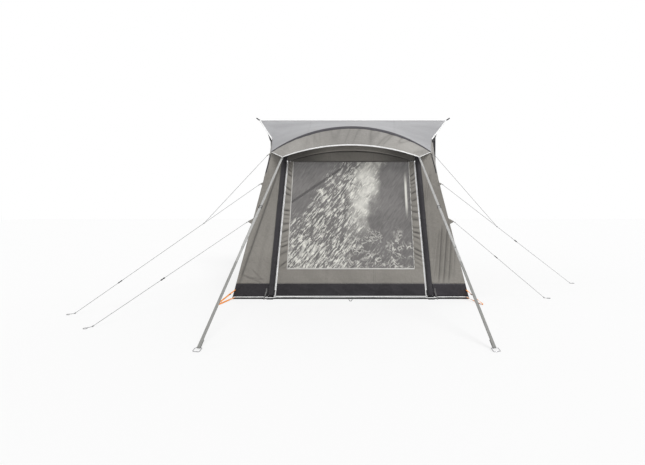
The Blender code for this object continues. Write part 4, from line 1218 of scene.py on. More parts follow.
# Zips: white piping hides each coil, which runs up from the foot between the panel and the leg,
# with a slider that carries a moulded pull.
ZIP_FOOT = 0.032
ZIP_HEAD = 1.550
ZIP_TAPE_CUT = (0.018, 1.51)
ZIP_TAPE_FOOT = 0.034
ZIP_TAPE_PAST = 0.007
ZIP_TAPE_IN = 0.0054
SLIDER_FOOT = 0.075
ACROSS = Vector((1, 0, 0))
# Each block of a slider: its size, its place and how far its edges are rounded.
SLIDER_BLOCKS = (
    ((0.0077, 0.022, 0.0036), (0, 0.011, 0.0018), 0.0012),
    ((0.0030, 0.014, 0.0030), (0, 0.011, 0.0046), 0.0008),
    ((0.0066, 0.030, 0.0018), (0, -0.0142, 0.0012), 0.0006),
    ((0.0050, 0.014, 0.0026), (0, -0.020, 0.0014), 0.0008),
)


def up_front(side, cut, foot, edge, inset, out):
    """A strip that runs up the front from a foot, and starts that far in from edge(h)."""

    def at(u, v):
        h = foot + cut[1] * v
        return front(side * (edge(h) - inset + cut[0] * u), h, out)

    return at


def backing_tape(name, rows, cut, place):
    """The black tape behind a zip."""
    tape = lay_cloth(name, 3, rows, cut, place, webbing_black, "black_plastic", thick=TAPE)
    dress(tape, flat=cut)


def zip_slider(node, low, run, across, out):
    """A zip slider: a rounded body with a bridge on it and a flat pull that hangs from the bridge."""
    bm = bmesh.new()
    for size, place, softened in SLIDER_BLOCKS:
        block(bm, size, place, softened)
    turn_to(bm, Matrix((across, run.normalized(), out)).transposed(), low)
    moulding(node + "_pull", bm, node, node)


for name, side in SIDES:
    heights = spread(ZIP_FOOT, ZIP_HEAD, 60)
    points = [front(side * zip_x(h), h, 0.0004 * math.sin(h * 9.0 + side)) for h in heights]
    piping("zip_piping_%s_cord" % name, points, "zip_piping_" + name)
    place = up_front(side, ZIP_TAPE_CUT, ZIP_TAPE_FOOT, zip_x, ZIP_TAPE_PAST, -ZIP_TAPE_IN)
    backing_tape("zip_tape_" + name, 40, ZIP_TAPE_CUT, place)
    low = front(side * zip_x(SLIDER_FOOT), SLIDER_FOOT)
    run = front(side * zip_x(ZIP_HEAD), ZIP_HEAD) - low
    zip_slider("zip_slider_" + name, low + OUT * (PIPING_R + 0.0008), run, ACROSS, OUT)

# Top zip: a coil on a dark tape behind the panel's arched top edge, where it meets the head panel,
# so that the panel's whole edge can be opened.
TOP_ZIP_CUT = (1.48, 0.014)
TOP_TAPE_IN = 0.0032
TOP_COIL_R = 0.0021
TOP_COIL_IN = 0.0006
TOP_COIL_UP = 0.003
PANEL_HALF = panel_x(PANEL_SHOULDER)
coil_finish, wire = finish("zip_coil", Roughness=0.55)
tooth = wire.stood().part(2).ribs(0.004)
tooth.fade(-0.6, 0.6).mix((0.008, 0.008, 0.009), (0.06, 0.06, 0.062)).feed("Base Color")
tooth.emboss(1.0, 0.0008)


def top_zip_point(u, v):
    x = (2 * u - 1) * (PANEL_HALF - 0.004)
    return front(x, panel_head(x) - TOP_COIL_UP + TOP_ZIP_CUT[1] * v, -TOP_TAPE_IN)


cloth = ("top_zip_tape", 70, 3, TOP_ZIP_CUT, top_zip_point, dark_binding, "dark_cloth")
dress(lay_cloth(*cloth, thick=TAPE), flat=TOP_ZIP_CUT)
coil_half = PANEL_HALF - 0.006
along = spread(-coil_half, coil_half, 90)
points = [front(x, panel_head(x) + TOP_COIL_UP, -TOP_COIL_IN) for x in along]
dress(line("top_zip_coil", points, TOP_COIL_R, coil_finish))

# Head panel: the cloth above the panel's arched top, up to the sleeve, sewn to it all round
# and always in the visor's shade. Its colours are painted light, the wall cloth's made a quarter lighter,
# and it has painted shade towards both legs.
HEAD_CUT = (1.60, 0.20)
shoulder = [Vector((leg_x(1.575), 1.575))] + [p for p in half_beam if p.y > 1.58]
side_line = shoulder + over + [Vector((-p.x, p.y)) for p in reversed(shoulder)]
last = len(side_line) - 1
head_marks = []
for i, p in enumerate(side_line):
    run = side_line[min(i + 1, last)] - side_line[max(i - 1, 0)]
    inward = Vector((run.y, -run.x)).normalized()
    if inward.dot(Vector((0, ARCH_CENTRE)) - p) < 0:
        inward = -inward
    head_marks.append(p + inward * (BEAM_R + 0.0006))


def head_place(u, v):
    """Where a point of the head panel lies across and up the front."""
    k = min(int(u * last), last - 1)
    top = head_marks[k].lerp(head_marks[k + 1], u * last - k)
    x = PANEL_HALF * (1 - 2 * u)
    return Vector((x, panel_head(x) + 0.006)).lerp(top, v)


def head_point(u, v):
    p = head_place(u, v)
    return front(p.x, p.y, 0.001 * math.sin(math.pi * v) * ripple(p.x, p.y, 12.0, 61.0))


# Painted light: the wall cloth's colours made a quarter lighter, so that the panel shows brighter under the
# visor.
head_painted_light_colours = ((0.225, 0.211, 0.190), (0.327, 0.310, 0.281))
head_finish = cloth_finish("head_cloth", *head_painted_light_colours, creases=0.5, painted_shade_strength=0.88)
cloth = ("head_panel_cloth", last, 10, HEAD_CUT, head_point, head_finish, "wall_cloth")
head_cloth = lay_cloth(*cloth, painted_shade=lambda u, v: shaded_head(head_place(u, v).x))
dress(head_cloth, node="head_panel", flat=HEAD_CUT, area=0.26)

# Wings of the front: plain cloth between each leg and the outer edge, pulled a little out of flat
# by the guys, so that long soft folds run down it. Doubled tabs with steel eyelets on the outer edge
# carry the guy lines, and each wing has its own mud wall.
TUCK = 0.0030
WING_CUT = (0.42, 1.60)
WING_MUD_FOOT = 0.029
WING_SLACK = 0.003
WING_MUD_CUT = (0.39, 0.138)
TAB_ROOT = 0.012
TAB_TIP = 0.012
TAB_THICK = 0.0022
EYELET_R = 0.0042
EYELET_WIRE_R = 0.0012
EYELET_IN = 0.0085
EYELET_OUT = 0.0026
EDGE_TAPE_FOOT = 1.42
EDGE_TAPE_CUT = (0.012, 0.235)
EDGE_TAPE_IN = 0.009
EDGE_TAPE_OUT = 0.0020
# Each fold's low and high end as (x, height), its width and depth, and how dark the painted shade in its
# hollow is.
WING_FOLDS = {
    -1: [
        ((1.212, 0.165), (0.822, 1.44), 0.017, 0.0100, 0.95),
        ((1.020, 0.20), (0.900, 0.80), 0.026, 0.0030, 0.15),
        ((0.975, 0.185), (1.200, 0.275), 0.010, 0.0040, 0.5),
        ((0.965, 0.225), (1.150, 0.245), 0.009, 0.0035, 0.45),
        ((0.955, 0.205), (1.090, 0.330), 0.010, 0.0030, 0.3),
    ],
    1: [
        ((0.907, 0.22), (0.977, 0.74), 0.0120, 0.0055, 0.45),
        ((0.957, 0.19), (1.011, 0.79), 0.0140, 0.0075, 1.0),
        ((1.011, 0.19), (1.070, 0.77), 0.0140, 0.0075, 1.0),
        ((1.070, 0.20), (1.116, 0.70), 0.0130, 0.0070, 0.9),
        ((1.128, 0.24), (1.150, 0.56), 0.0110, 0.0045, 0.45),
        ((0.850, 1.08), (0.895, 1.42), 0.0120, 0.0060, 0.5),
        ((0.890, 0.25), (0.870, 1.30), 0.0200, 0.0030, 0.15),
    ],
}


def bump(off):
    """1 at 0, and soon nothing on either side."""
    return math.exp(-(off**2))


def beside_fold(x, h, low, high, width):
    """How far a place lies beside a fold, in fold widths, and how strong the fold is there."""
    run = Vector((high[0] - low[0], high[1] - low[1]))
    off = Vector((x - low[0], h - low[1]))
    share = off.dot(run) / run.length_squared
    strong = ease((share + 0.12) / 0.25) * ease((1.12 - share) / 0.25)
    return (off.x * run.y - off.y * run.x) / run.length / width, strong


def wing_inner(h):
    return leg_x(h) + BEAM_R - TUCK


def wing_place(side, u, v):
    """Where a point of a wing lies out and up the front, and how far it stands out."""
    top_x = part_way(LEG_HEAD_X, HALF_EAVE, u)
    top = ARCH_CENTRE + math.sqrt(ARCH_R**2 - top_x**2) - 0.010
    h = part_way(CLOTH_FOOT, top, v)
    inner = part_way(wing_inner(h), LEG_HEAD_X, ease((h - 1.50) / 0.27))
    pull = sum(bump((h - tab_h) / 0.11) for tab_h, tall, reach in TABS.values())
    x = part_way(inner, wing_edge(min(h, ARCH_END)) + 0.002 * (pull - math.sin(math.pi * v)), u)
    loose = min(1.0, 9 * u, 12 * (1 - u)) * min(1.0, 14 * v, 10 * (1 - v))
    out = WING_SLACK * ripple(x, h, 3.0, 70.0 + side)
    for low, high, width, depth, shade in WING_FOLDS[side]:
        off, strong = beside_fold(x, h, low, high, width)
        out += depth * strong * (bump(off) - 0.9 * bump(off - 1.7))
    return x, h, out * loose


def wing_painted_shade(side, u, v):
    """Painted shade on the dark side of each fold in a wing."""
    x, h, out = wing_place(side, u, v)
    deep = 0.0
    for low, high, width, depth, shade in WING_FOLDS[side]:
        off, strong = beside_fold(x, h, low, high, width)
        deep = max(deep, shade * strong * bump((off - 1.2) / 0.8))
    return deep


wing_finish = cloth_finish("wing_cloth", WALL_DARK, WALL_LIGHT, painted_shade_strength=0.7)
steel_finish, wire = finish("zinc_steel", Metallic=0.9)
worn = wire.stood().clouds(70.0, 4.0)
worn.fade(0.3, 0.8).mix((0.33, 0.33, 0.34), (0.52, 0.52, 0.53)).feed("Base Color")
(worn * 0.25 + 0.25).feed("Roughness")
for name, side in SIDES:

    def wing_point(u, v, side=side):
        x, h, out = wing_place(side, u, v)
        return front(side * x, h, out)

    cloth = ("wing_%s_cloth" % name, 72, 130, WING_CUT, wing_point, wing_finish, "wall_cloth")
    wing = lay_cloth(*cloth, painted_shade=lambda u, v, side=side: wing_painted_shade(side, u, v))
    sewn_on = []
    for place, (h, tall, reach) in TABS.items():

        def tab_point(u, v, side=side, h=h, tall=tall, reach=reach):
            wide = part_way(tall, TAB_TIP, u**0.8)
            x = wing_edge(h) - TAB_ROOT + (reach + TAB_ROOT) * u
            return front(side * x, h + wide * (v - 0.5), 0.0012 + 0.0006 * math.sin(9 * v + 5 * u))

        cut = (reach + TAB_ROOT, tall)
        cloth = ("guy_tab_%s_%s" % (place, name), 8, 8, cut, tab_point, wing_finish, "wall_cloth")
        sewn_on.append(dress(lay_cloth(*cloth, thick=TAB_THICK)))
        middle = tab_end(place, side, -EYELET_IN) + OUT * EYELET_OUT
        turns = spread(0, 2 * math.pi, 17)[:-1]
        ring = [middle + (ACROSS * math.cos(a) + ALONG * math.sin(a)) * EYELET_R for a in turns]
        label = "guy_eyelet_%s_%s" % (place, name)
        dress(line(label, ring, EYELET_WIRE_R, steel_finish, 2, closed=True))
    place = up_front(side, EDGE_TAPE_CUT, EDGE_TAPE_FOOT, wing_edge, EDGE_TAPE_IN, EDGE_TAPE_OUT)
    cloth = ("eave_tape_" + name, 3, 24, EDGE_TAPE_CUT, place, webbing_black, "black_hem")
    sewn_on.append(dress(lay_cloth(*cloth)))
    rests = {"rests_on": ["beam_sleeve_cloth"], "area": 0.43, "with_pieces": sewn_on}
    dress(wing, node="wing_" + name, flat=WING_CUT, **rests)

    def wing_mud_point(u, v, side=side):
        h = part_way(WING_MUD_FOOT, MUDWALL_TOP, v)
        x = part_way(wing_inner(h), wing_edge(h), u)
        loose = math.sin(math.pi * v) * min(1.0, 9 * u, 12 * (1 - u))
        out = ripple(x, h, 7.0, 80.0 + side) + crease(x + h * 1.5, h, 5.0, 82.0)
        return front(side * x, h, loose * out * WING_SLACK)

    cloth = ("wing_mudwall_%s_cloth" % name, 40, 12, WING_MUD_CUT, wing_mud_point, mud_finish, "dark_cloth")
    rests = ["wing_%s_cloth" % name]
    dress(lay_cloth(*cloth), node="wing_mudwall_" + name, flat=WING_MUD_CUT, rests_on=rests)

# Corner seams: the folded edge where each wing is sewn to its side wall, charcoal at the foot
# like the cloth beside it.
CORNER_SEAM_R = 0.0027
CORNER_SEAM_FOOT = 0.030
CORNER_SEAM_HEAD = 1.662
CORNER_SEAMS = (
    ("foot", CORNER_SEAM_FOOT, MUDWALL_TOP, mud_finish, "dark_cloth"),
    ("long", MUDWALL_TOP, CORNER_SEAM_HEAD, wing_finish, "wall_cloth"),
)
for name, side in SIDES:
    for stretch, low, high, used, slot in CORNER_SEAMS:
        points = [front(side * (wing_edge(h) + 0.0004), h, -0.0016) for h in spread(low, high, 40)]
        dress(line("corner_seam_%s_%s" % (stretch, name), points, CORNER_SEAM_R, used))

# Side walls: cloth stretched in straight lines from the ground to the eave, with a charcoal strip
# along the foot. The front part and the part above the door are sewn to the roof;
# the door between them zips open.
DEPTH = REAR_Y - FRONT_Y
EAVE_RUN = (eave(1) - eave(0)).y
DOOR_ZIP = 0.60
DOOR_HEAD = 0.88
DOOR_GAP = 0.002
WALL_FOOT = 0.0286
DOOR_FOOT = 0.031
UNDER_ROOF = 0.0022
SIDE_BAND_TOP = 0.138
DOOR_BAND_TOP = 0.132
PAD_DEEP = 0.030
FRONT_CUT = (1.20, 1.92)
DOOR_CUT = (0.76, 1.98)
OVER_CUT = (0.72, 0.26)
CHARCOAL = ((0.012, 0.0108, 0.0128), (0.027, 0.0245, 0.0287))


def side_wall(side, u, share):
    """The side wall on a straight line u of the way back; share is how far up that line."""
    p = Vector((HALF_BASE, FRONT_Y + DEPTH * u, 0)).lerp(eave(u), share)
    return mirrored(p, side)


def wall_run(share):
    return part_way(DEPTH, EAVE_RUN, share)


def wall_start(share):
    return (0.0022 + 0.0015 * share) / wall_run(share)


def before_pad(space):
    return lambda share: 1 - (PAD_DEEP + space) / wall_run(share)


def beside_zip(space):
    return lambda share: DOOR_ZIP + space / wall_run(share)


def up_line(share, past):
    """A height that is a share of the way up each line of the wall, and a distance past it."""
    return lambda u: share + past / eave(u).z


def wall_place(side, low_at, high_at, foot_of, head_of, seed, depth, drag):
    """Where a cut of the side wall hangs, between two upright lines and two edges, with soft folds."""

    def at(f, t):
        u = part_way(low_at(t), high_at(t), f)
        share = part_way(foot_of(u), head_of(u), t)
        u = part_way(low_at(share), high_at(share), f)
        p = side_wall(side, u, share)
        loose = min(1.0, 10 * f, 10 * (1 - f)) * min(1.0, 12 * t, 12 * (1 - t))
        slant = crease(p.y * 1.4 + drag * p.z, p.z * 0.35 - p.y * 0.2, 2.6, seed + 1)
        out = 0.55 * ripple(p.y * 1.2, p.z * 0.8, 2.4, seed) + 0.6 * slant
        return p + ACROSS * side * out * depth * loose

    return at


side_band = {"band": (SIDE_BAND_TOP, *CHARCOAL), "seams": [(0, 0.60)]}
side_finish = cloth_finish("side_cloth", WALL_DARK, WALL_LIGHT, **side_band)
door_band = {"band": (DOOR_BAND_TOP, *CHARCOAL), "seams": [(0, 0.022), (1, 1.80)]}
door_finish = cloth_finish("door_cloth", WALL_DARK, WALL_LIGHT, **door_band)
top_finish = cloth_finish("side_head_cloth", WALL_DARK, WALL_LIGHT, creases=0.8)
above_hem = up_line(0, WALL_FOOT)
under_eave = up_line(1, -UNDER_ROOF)
door_foot = up_line(0, DOOR_FOOT)
for name, side in SIDES:
    place = wall_place(side, wall_start, beside_zip(0), above_hem, under_eave, 90.0 + side, 0.010, 0.5)
    cloth = ("side_front_%s_cloth" % name, 70, 110, FRONT_CUT, place, side_finish, "wall_cloth")
    dress(lay_cloth(*cloth), node="side_front_" + name, flat=FRONT_CUT, rests_on=["roof_cloth"])
    bounds = (beside_zip(DOOR_GAP), before_pad(0.0006), up_line(DOOR_HEAD, 0), under_eave)
    place = wall_place(side, *bounds, 94.0 + side, 0.004, 0.2)
    cloth = ("side_head_%s_cloth" % name, 40, 16, OVER_CUT, place, top_finish, "wall_cloth")
    dress(lay_cloth(*cloth), node="side_head_" + name, flat=OVER_CUT, rests_on=["roof_cloth"])
    bounds = (beside_zip(DOOR_GAP), before_pad(0.0009), door_foot, up_line(DOOR_HEAD, -DOOR_GAP))
    place = wall_place(side, *bounds, 97.0 + side, 0.008, -0.4)
    cloth = ("door_%s_cloth" % name, 48, 110, DOOR_CUT, place, door_finish, "wall_cloth")
    dress(lay_cloth(*cloth), "door_" + name, "door_" + name, DOOR_CUT)

# Eave seams: the folded seam that joins each side wall to the roof, all the way back from the arch
# to the rear pad, in the wall's own cloth.
EAVE_SEAM_R = 0.0016
for name, side in SIDES:
    points = [mirrored(eave(u), side) - UP * 0.0012 for u in spread(0.004, 0.978, 60)]
    dress(line("eave_seam_" + name, points, EAVE_SEAM_R, wing_finish))

# Door zips: a black coil up the front part's rear edge, with its slider, on a tape that covers
# the gap from inside. A second tape runs along the door's head.
DOOR_TAPE = 0.016
DOOR_TAPE_IN = 0.0034
UPRIGHT_RUN = (0.018, 0.990)
UPRIGHT_PAST = 0.006
HEAD_STOP = 0.983
HEAD_PAST = 0.011
DOOR_COIL_R = 0.0020
# How far the coil and the slider stand in front of the front part's edge, and how far out.
COIL_OFF = (0.0025, 0.0008)
SLIDER_OFF = (PIPING_R, 0.0028)
for name, side in SIDES:
    run = side_wall(side, DOOR_ZIP, 1) - side_wall(side, DOOR_ZIP, 0)
    back = side_wall(side, DOOR_ZIP, 0) - side_wall(side, 0, 0)
    out = back.cross(run).normalized()
    out = -out if out.x * side < 0 else out
    flat = run.cross(out).normalized()
    flat = -flat if flat.y > 0 else flat
    coil_off = flat * COIL_OFF[0] + out * COIL_OFF[1]
    points = [side_wall(side, DOOR_ZIP, share) + coil_off for share in spread(0.02, 0.878, 60)]
    dress(line("door_zip_%s_coil" % name, points, DOOR_COIL_R, coil_finish))

    def upright_tape(u, v, side=side):
        share = part_way(UPRIGHT_RUN[0], UPRIGHT_RUN[1], v)
        along = DOOR_ZIP + (DOOR_TAPE * u - UPRIGHT_PAST) / wall_run(share)
        return side_wall(side, along, share) - ACROSS * side * DOOR_TAPE_IN

    def head_tape(u, v, side=side):
        along = part_way(DOOR_ZIP, HEAD_STOP, v)
        share = DOOR_HEAD + (DOOR_TAPE * u - HEAD_PAST) / eave(along).z
        return side_wall(side, along, share) - ACROSS * side * DOOR_TAPE_IN

    backing_tape("door_tape_upright_" + name, 80, (DOOR_TAPE, 2.05), upright_tape)
    backing_tape("door_tape_head_" + name, 40, (DOOR_TAPE, 0.74), head_tape)
    low = side_wall(side, DOOR_ZIP, SLIDER_FOOT / eave(DOOR_ZIP).z)
    low += flat * SLIDER_OFF[0] + out * SLIDER_OFF[1]
    zip_slider("door_slider_" + name, low, run, flat, out)

# Vent mesh: a strip of black insect mesh that closes the gap between each roof wing's free edge
# and the side wall, bellied a little outwards.
MESH = 0.0006
MESH_CUT = (0.10, 0.66)
mesh_finish, wire = finish("vent_mesh", Roughness=0.9)
cut = wire.sewn()
net = cut.part(0).ribs(0.002).or_more(cut.part(1).ribs(0.002))
net.fade(-0.2, 0.8).mix((0.003, 0.003, 0.003), (0.018, 0.018, 0.019)).feed("Base Color")
net.emboss(1.0, 0.0004)


def vent_point(u, v):
    top = wing_foot.lerp(WING_OUTER, part_way(0.012, 0.512, v)) - away * 0.001
    tall = math.sin(math.pi * min(1.0, v * 0.96 + 0.04)) ** 0.7
    low = side_wall(1, (top.y + 0.008) / EAVE_RUN, 0.995 - 0.045 * tall) + ACROSS * 0.004
    return top.lerp(low, u) + Vector((0.012, 0, -0.012)) * math.sin(math.pi * u) * tall


for name, side in SIDES:

    def vent_place(u, v, side=side):
        return mirrored(vent_point(u, v), side)

    cloth = ("vent_mesh_" + name, 10, 40, MESH_CUT, vent_place, mesh_finish, "dark_cloth")
    dress(lay_cloth(*cloth, thick=MESH), flat=MESH_CUT, rests_on=["roof_cloth"], area=0.045)

# Rear pads: foam uprights in charcoal cloth, almost as tall as the roof's rear edge,
# at the rear end of each side wall.
PAD_TALL = 2.418
PAD_ROWS = 120
PAD_CORNER = 4.5
PAD_HALF_DEEP = 0.0138
PAD_HALF_WIDE = 0.0485
PAD_Y = REAR_Y - 0.0152
pad_colours = ((0.018, 0.0165, 0.019), (0.036, 0.033, 0.038))
pad_finish = cloth_finish("pad_cloth", *pad_colours, 0.7, [(0, 0.035), (0, 0.165)], creases=0.7)


def pad_radius(i, angle):
    """A rounded oblong, a little crowned and drawn in at its closed ends."""
    z = PAD_TALL * i / PAD_ROWS
    draw = 0.80 + 0.20 * min(ease(z / PAD_DEEP), ease((PAD_TALL - z) / PAD_DEEP))
    deep = abs(math.cos(angle)) / (PAD_HALF_DEEP + 0.0008 * ripple(z, 0, 2.5, 101.0))
    wide = abs(math.sin(angle)) / (PAD_HALF_WIDE + 0.001 * ripple(z, 3, 4.0, 102.0))
    return draw / (deep**PAD_CORNER + wide**PAD_CORNER) ** (1 / PAD_CORNER)


for name, side in SIDES:
    heights = spread(0.0005, PAD_TALL - 0.0005, PAD_ROWS + 1)
    path = [Vector((side * HALF_BASE, PAD_Y, z)) for z in heights]
    back = Vector((0, 1, 0))
    tube = ("rear_pad_%s_foam" % name, path, back, pad_radius, 72, pad_finish, "dark_cloth")
    dress(hose(*tube, capped=True), node="rear_pad_" + name)

# Storm straps: grey polyester webbing 25 mm wide from the visor's corners down to a steel ring on
# the ground, where each is looped round the ring's bar. The free end comes back through
# a ladder buckle and lies on the strap.
WEB = 0.0016
STRAP_WIDTH = 0.025
STORM_STITCHES = (2.150, 2.192)
STORM_WORN_FROM = 1.32
RING_X = 1.041
BAR_Z = 0.016
RING_R = 0.003
RING_REACH = 0.040
WRAP_R = RING_R + 0.0006 + 0.001
BAR_Y = FRONT_Y - 1.488 + RING_R + math.sqrt(RING_REACH**2 - (BAR_Z - RING_R) ** 2)
STRAP_RETURN = 0.060
# Each buckle's length, width and thickness.
HEAD_BUCKLE = (0.024, 0.034, 0.007)
STORM_BUCKLE = (0.036, 0.034, 0.008)
# Its side rails' share of the width and place from each edge, the share of the length that its cross
# bars span, each bar's share of the length and thickness, and how far the bars stand in and out.
SIDE_RAIL_SHARE = 0.0035 / 0.034
SIDE_RAIL_IN = 0.0018
CROSS_SPAN = 0.88
CROSS_SHARES = (0.12, 0.42)
CROSS_STAGGER = 0.26
HEAD_BUCKLE_DOWN = 0.030
BUCKLE_SHARE = 0.36
TAIL_OFF_STRAP = 0.0034
TAIL_SHARES = (0.369, 0.59)


def webbing_finish(name, dark, light, change=None, stitches=None):
    """Woven webbing: fine ribs across, a duller length beyond change metres, and a crossed box of stitches,
    given by its first and last metre along the webbing."""
    made, wire = finish(name, Sheen_Weight=0.15)
    where = wire.stood()
    cut = wire.sewn()
    u = cut.part(0)
    v = cut.part(1)
    rib = v.ribs(0.0022) * 0.6 + u.ribs(0.0018) * 0.4
    height = rib
    shade = (rib * 0.25 + where.clouds(30.0) * 0.6 + 0.15).fade(0.1, 0.9).mix(dark, light)
    if change:
        duller = (dark[0] * 0.78, dark[1] * 0.78, dark[2] * 0.77)
        shade = v.fade(change - 0.01, change + 0.01).mix(shade, duller)
    if stitches:
        low, high = stitches
        share = (v - low) / (high - low)
        off = (u - STRAP_WIDTH / 2).size()
        inside = share.fade(-0.03, -0.01) * (1 - share.fade(1.01, 1.03)) * (1 - off.fade(0.0090, 0.0095))
        ends = (share - 0.5).size().fade(0.485, 0.495)
        slant = (u - 0.0045) / 0.016
        crossed = 1 - (slant - share).size().fade(0.02, 0.045)
        back_crossed = 1 - (slant + share - 1).size().fade(0.02, 0.045)
        thread = (ends + off.fade(0.0080, 0.0083) + crossed + back_crossed).fade(0.2, 0.6) * inside
        shade = (thread * 0.85).mix(shade, (0.06, 0.06, 0.06))
        height = rib - thread * 2.0
    shade.feed("Base Color")
    (where.clouds(12.0) * 0.1 + 0.65).feed("Roughness")
    height.emboss(0.7, 0.0006)
    return made


def dense(path, step):
    """The same path with its long runs divided."""
    points = [path[0]]
    for a, b in zip(path, path[1:]):
        count = max(1, int((b - a).length / step))
        points += [a.lerp(b, (i + 1) / count) for i in range(count)]
    return points


def belt(name, path, width, across_at, used, slot, body="awning", node=None, lift=None, **more):
    """Webbing that follows every point of a path; across_at(i) is its width vector there."""
    rows = len(path) - 1
    total = marks_along(path)[-1]
    cut = (across_at(0).length, total)

    def belt_point(u, v):
        k = min(int(v * rows + 1e-6), rows)
        p = path[k] + across_at(k) * (u - 0.5)
        return p + lift(k, u) if lift else p

    webbing = lay_cloth(name, 4, rows, cut, belt_point, used, slot, thick=WEB)
    dress(webbing, body, node, (width, round(total, 3)), **more)


def ladder_buckle(name, centre, along, across, size, bars, body="awning", node=None):
    """A moulded ladder buckle: two side rails joined by cross bars, which the webbing weaves round."""
    along = along.normalized()
    across = across.normalized()
    length, width, thick = size
    bm = bmesh.new()
    for side in (-1, 1):
        rail_at = (side * (width / 2 - SIDE_RAIL_IN), 0, 0)
        block(bm, (width * SIDE_RAIL_SHARE, length, thick), rail_at, 0.0010)
    deep, tall = CROSS_SHARES
    for i, place in enumerate(spread(-CROSS_SPAN / 2, CROSS_SPAN / 2, bars)):
        raised = thick * CROSS_STAGGER * (-1) ** i
        block(bm, (width - 0.003, length * deep, thick * tall), (0, place * length, raised), 0.0008)
    turn_to(bm, Matrix((across, along, across.cross(along))).transposed(), centre)
    moulding(name, bm, body, node)


storm_colours = ((0.33, 0.33, 0.32), (0.47, 0.47, 0.46))
storm_finish = webbing_finish("storm_webbing", *storm_colours, STORM_WORN_FROM, STORM_STITCHES)
tail_finish = webbing_finish("storm_tail_webbing", (0.36, 0.36, 0.35), (0.50, 0.50, 0.49))
ring_seats = {}
for name, side in SIDES:
    tangent = (visor_edge(side + 0.04) - visor_edge(side - 0.04)).normalized()
    fall = visor_fall(side)
    square = (fall - tangent * fall.dot(tangent)).normalized()
    start = visor_edge(side) + square * (PIPING_R + 0.0006)
    bar = Vector((side * RING_X, BAR_Y, BAR_Z))
    plan = Vector((bar.x - start.x, bar.y - start.y, 0)).normalized()
    across = plan.cross(UP)
    ring_seats[name] = (bar, across, plan)
    down = (bar - start).normalized()
    start += down * (PIPING_R + 0.0008)
    above = across.cross(down)
    above = -above if above.z < 0 else above
    near_end = bar + above * WRAP_R
    path = [start, near_end]
    for angle in spread(0, math.pi, 13)[1:]:
        path.append(bar + (above * math.cos(angle) + down * math.sin(angle)) * WRAP_R)
    path.append(path[-1] - down * STRAP_RETURN)
    path = dense(path, 0.02)

    def strap_lift(k, u, side=side, above=above, points=len(path)):
        """The strap cups a little one way and the other along its run."""
        t = k / points
        cup = 0.0012 * math.cos(2 * math.pi * (u - 0.5)) * min(1.0, 12 * t) * ease((0.9 - t) / 0.1)
        return above * cup * math.sin(9 * t + side)

    strap_across = across * STRAP_WIDTH
    strap = ("storm_strap_%s_webbing" % name, path, STRAP_WIDTH, lambda k, a=strap_across: a, storm_finish)
    rests = ["ring_%s_wire" % name]
    belt(*strap, "grey_webbing", node="storm_strap_" + name, lift=strap_lift, rests_on=rests)
    head_at = start + down * HEAD_BUCKLE_DOWN
    ladder_buckle("strap_head_buckle_" + name, head_at, down, across, HEAD_BUCKLE, 2)
    rider = "storm_buckle_" + name
    seat = start.lerp(near_end, BUCKLE_SHARE)
    ladder_buckle(rider + "_ladder", seat, down, across, STORM_BUCKLE, 3, rider, rider)
    tail = dense([start.lerp(near_end, share) + above * TAIL_OFF_STRAP for share in TAIL_SHARES], 0.02)

    def tail_lift(k, u, above=above, points=len(tail)):
        return above * 0.0014 * math.sin(3 * math.pi * k / points) ** 2

    narrow = strap_across * 0.99
    strap = ("storm_tail_%s_webbing" % name, tail, STRAP_WIDTH, lambda k, a=narrow: a, tail_finish)
    rests = ["storm_strap_%s_webbing" % name]
    belt(*strap, "grey_webbing", rider, lift=tail_lift, rests_on=rests)

# Rings: bent zinc-plated steel wire 6 mm thick, welded shut. The strap is looped round the near bar,
# and the far end lies on the ground.
RING_HALF_WIDE = 0.026
RING_CORNER = 0.010
for name, side in SIDES:
    bar, across, plan = ring_seats[name]
    drop = (BAR_Z - RING_R) / RING_REACH
    ahead = plan * math.sqrt(1 - drop**2) - UP * drop
    far = RING_REACH - RING_CORNER
    points = []
    for turn, (half, reach) in enumerate(((1, RING_CORNER), (1, far), (-1, far), (-1, RING_CORNER))):
        middle = bar + across * half * (RING_HALF_WIDE - RING_CORNER) + ahead * reach
        for angle in spread(math.pi / 2 * (turn - 1), math.pi / 2 * turn, 9):
            points.append(middle + (across * math.cos(angle) + ahead * math.sin(angle)) * RING_CORNER)
    ring = line("ring_%s_wire" % name, points, RING_R, steel_finish, 5, closed=True)
    dress(ring, "storm_ring_" + name, "storm_ring_" + name)

# Foot straps: grey webbing 15 mm wide, sewn to each wing's mud wall and led to the ground
# beside the foot, with a small ladder buckle.
SMALL_WIDTH = 0.015
FOOT_STRAP_X = 0.926
FOOT_STRAP_OUT = 0.0038
FOOT_STRAP_SEAM = (0.115, 0.085)
FOOT_STRAP_END = Vector((0.945, FRONT_Y - 0.035, 0.004))
FOOT_BUCKLE = (0.022, 0.022, 0.006)
FOOT_BUCKLE_SHARE = 0.62
small_finish = webbing_finish("small_webbing", (0.085, 0.085, 0.083), (0.16, 0.16, 0.157))
for name, side in SIDES:
    path = [front(side * FOOT_STRAP_X, h, FOOT_STRAP_OUT) for h in FOOT_STRAP_SEAM]
    path = dense(path + [mirrored(FOOT_STRAP_END, side)], 0.006)
    strap = ("foot_strap_%s_webbing" % name, path, SMALL_WIDTH, lambda k: ACROSS * SMALL_WIDTH, small_finish)
    belt(*strap, "grey_webbing", node="foot_strap_" + name)
    seat = path[int(len(path) * FOOT_BUCKLE_SHARE)]
    ladder_buckle("foot_buckle_" + name, seat, path[-1] - path[-2], ACROSS, FOOT_BUCKLE, 3)

# Corner straps: orange webbing loops 15 mm wide from the base corners to the ground,
# each with a ladder buckle.
CORNER_STRAP_X = 1.270
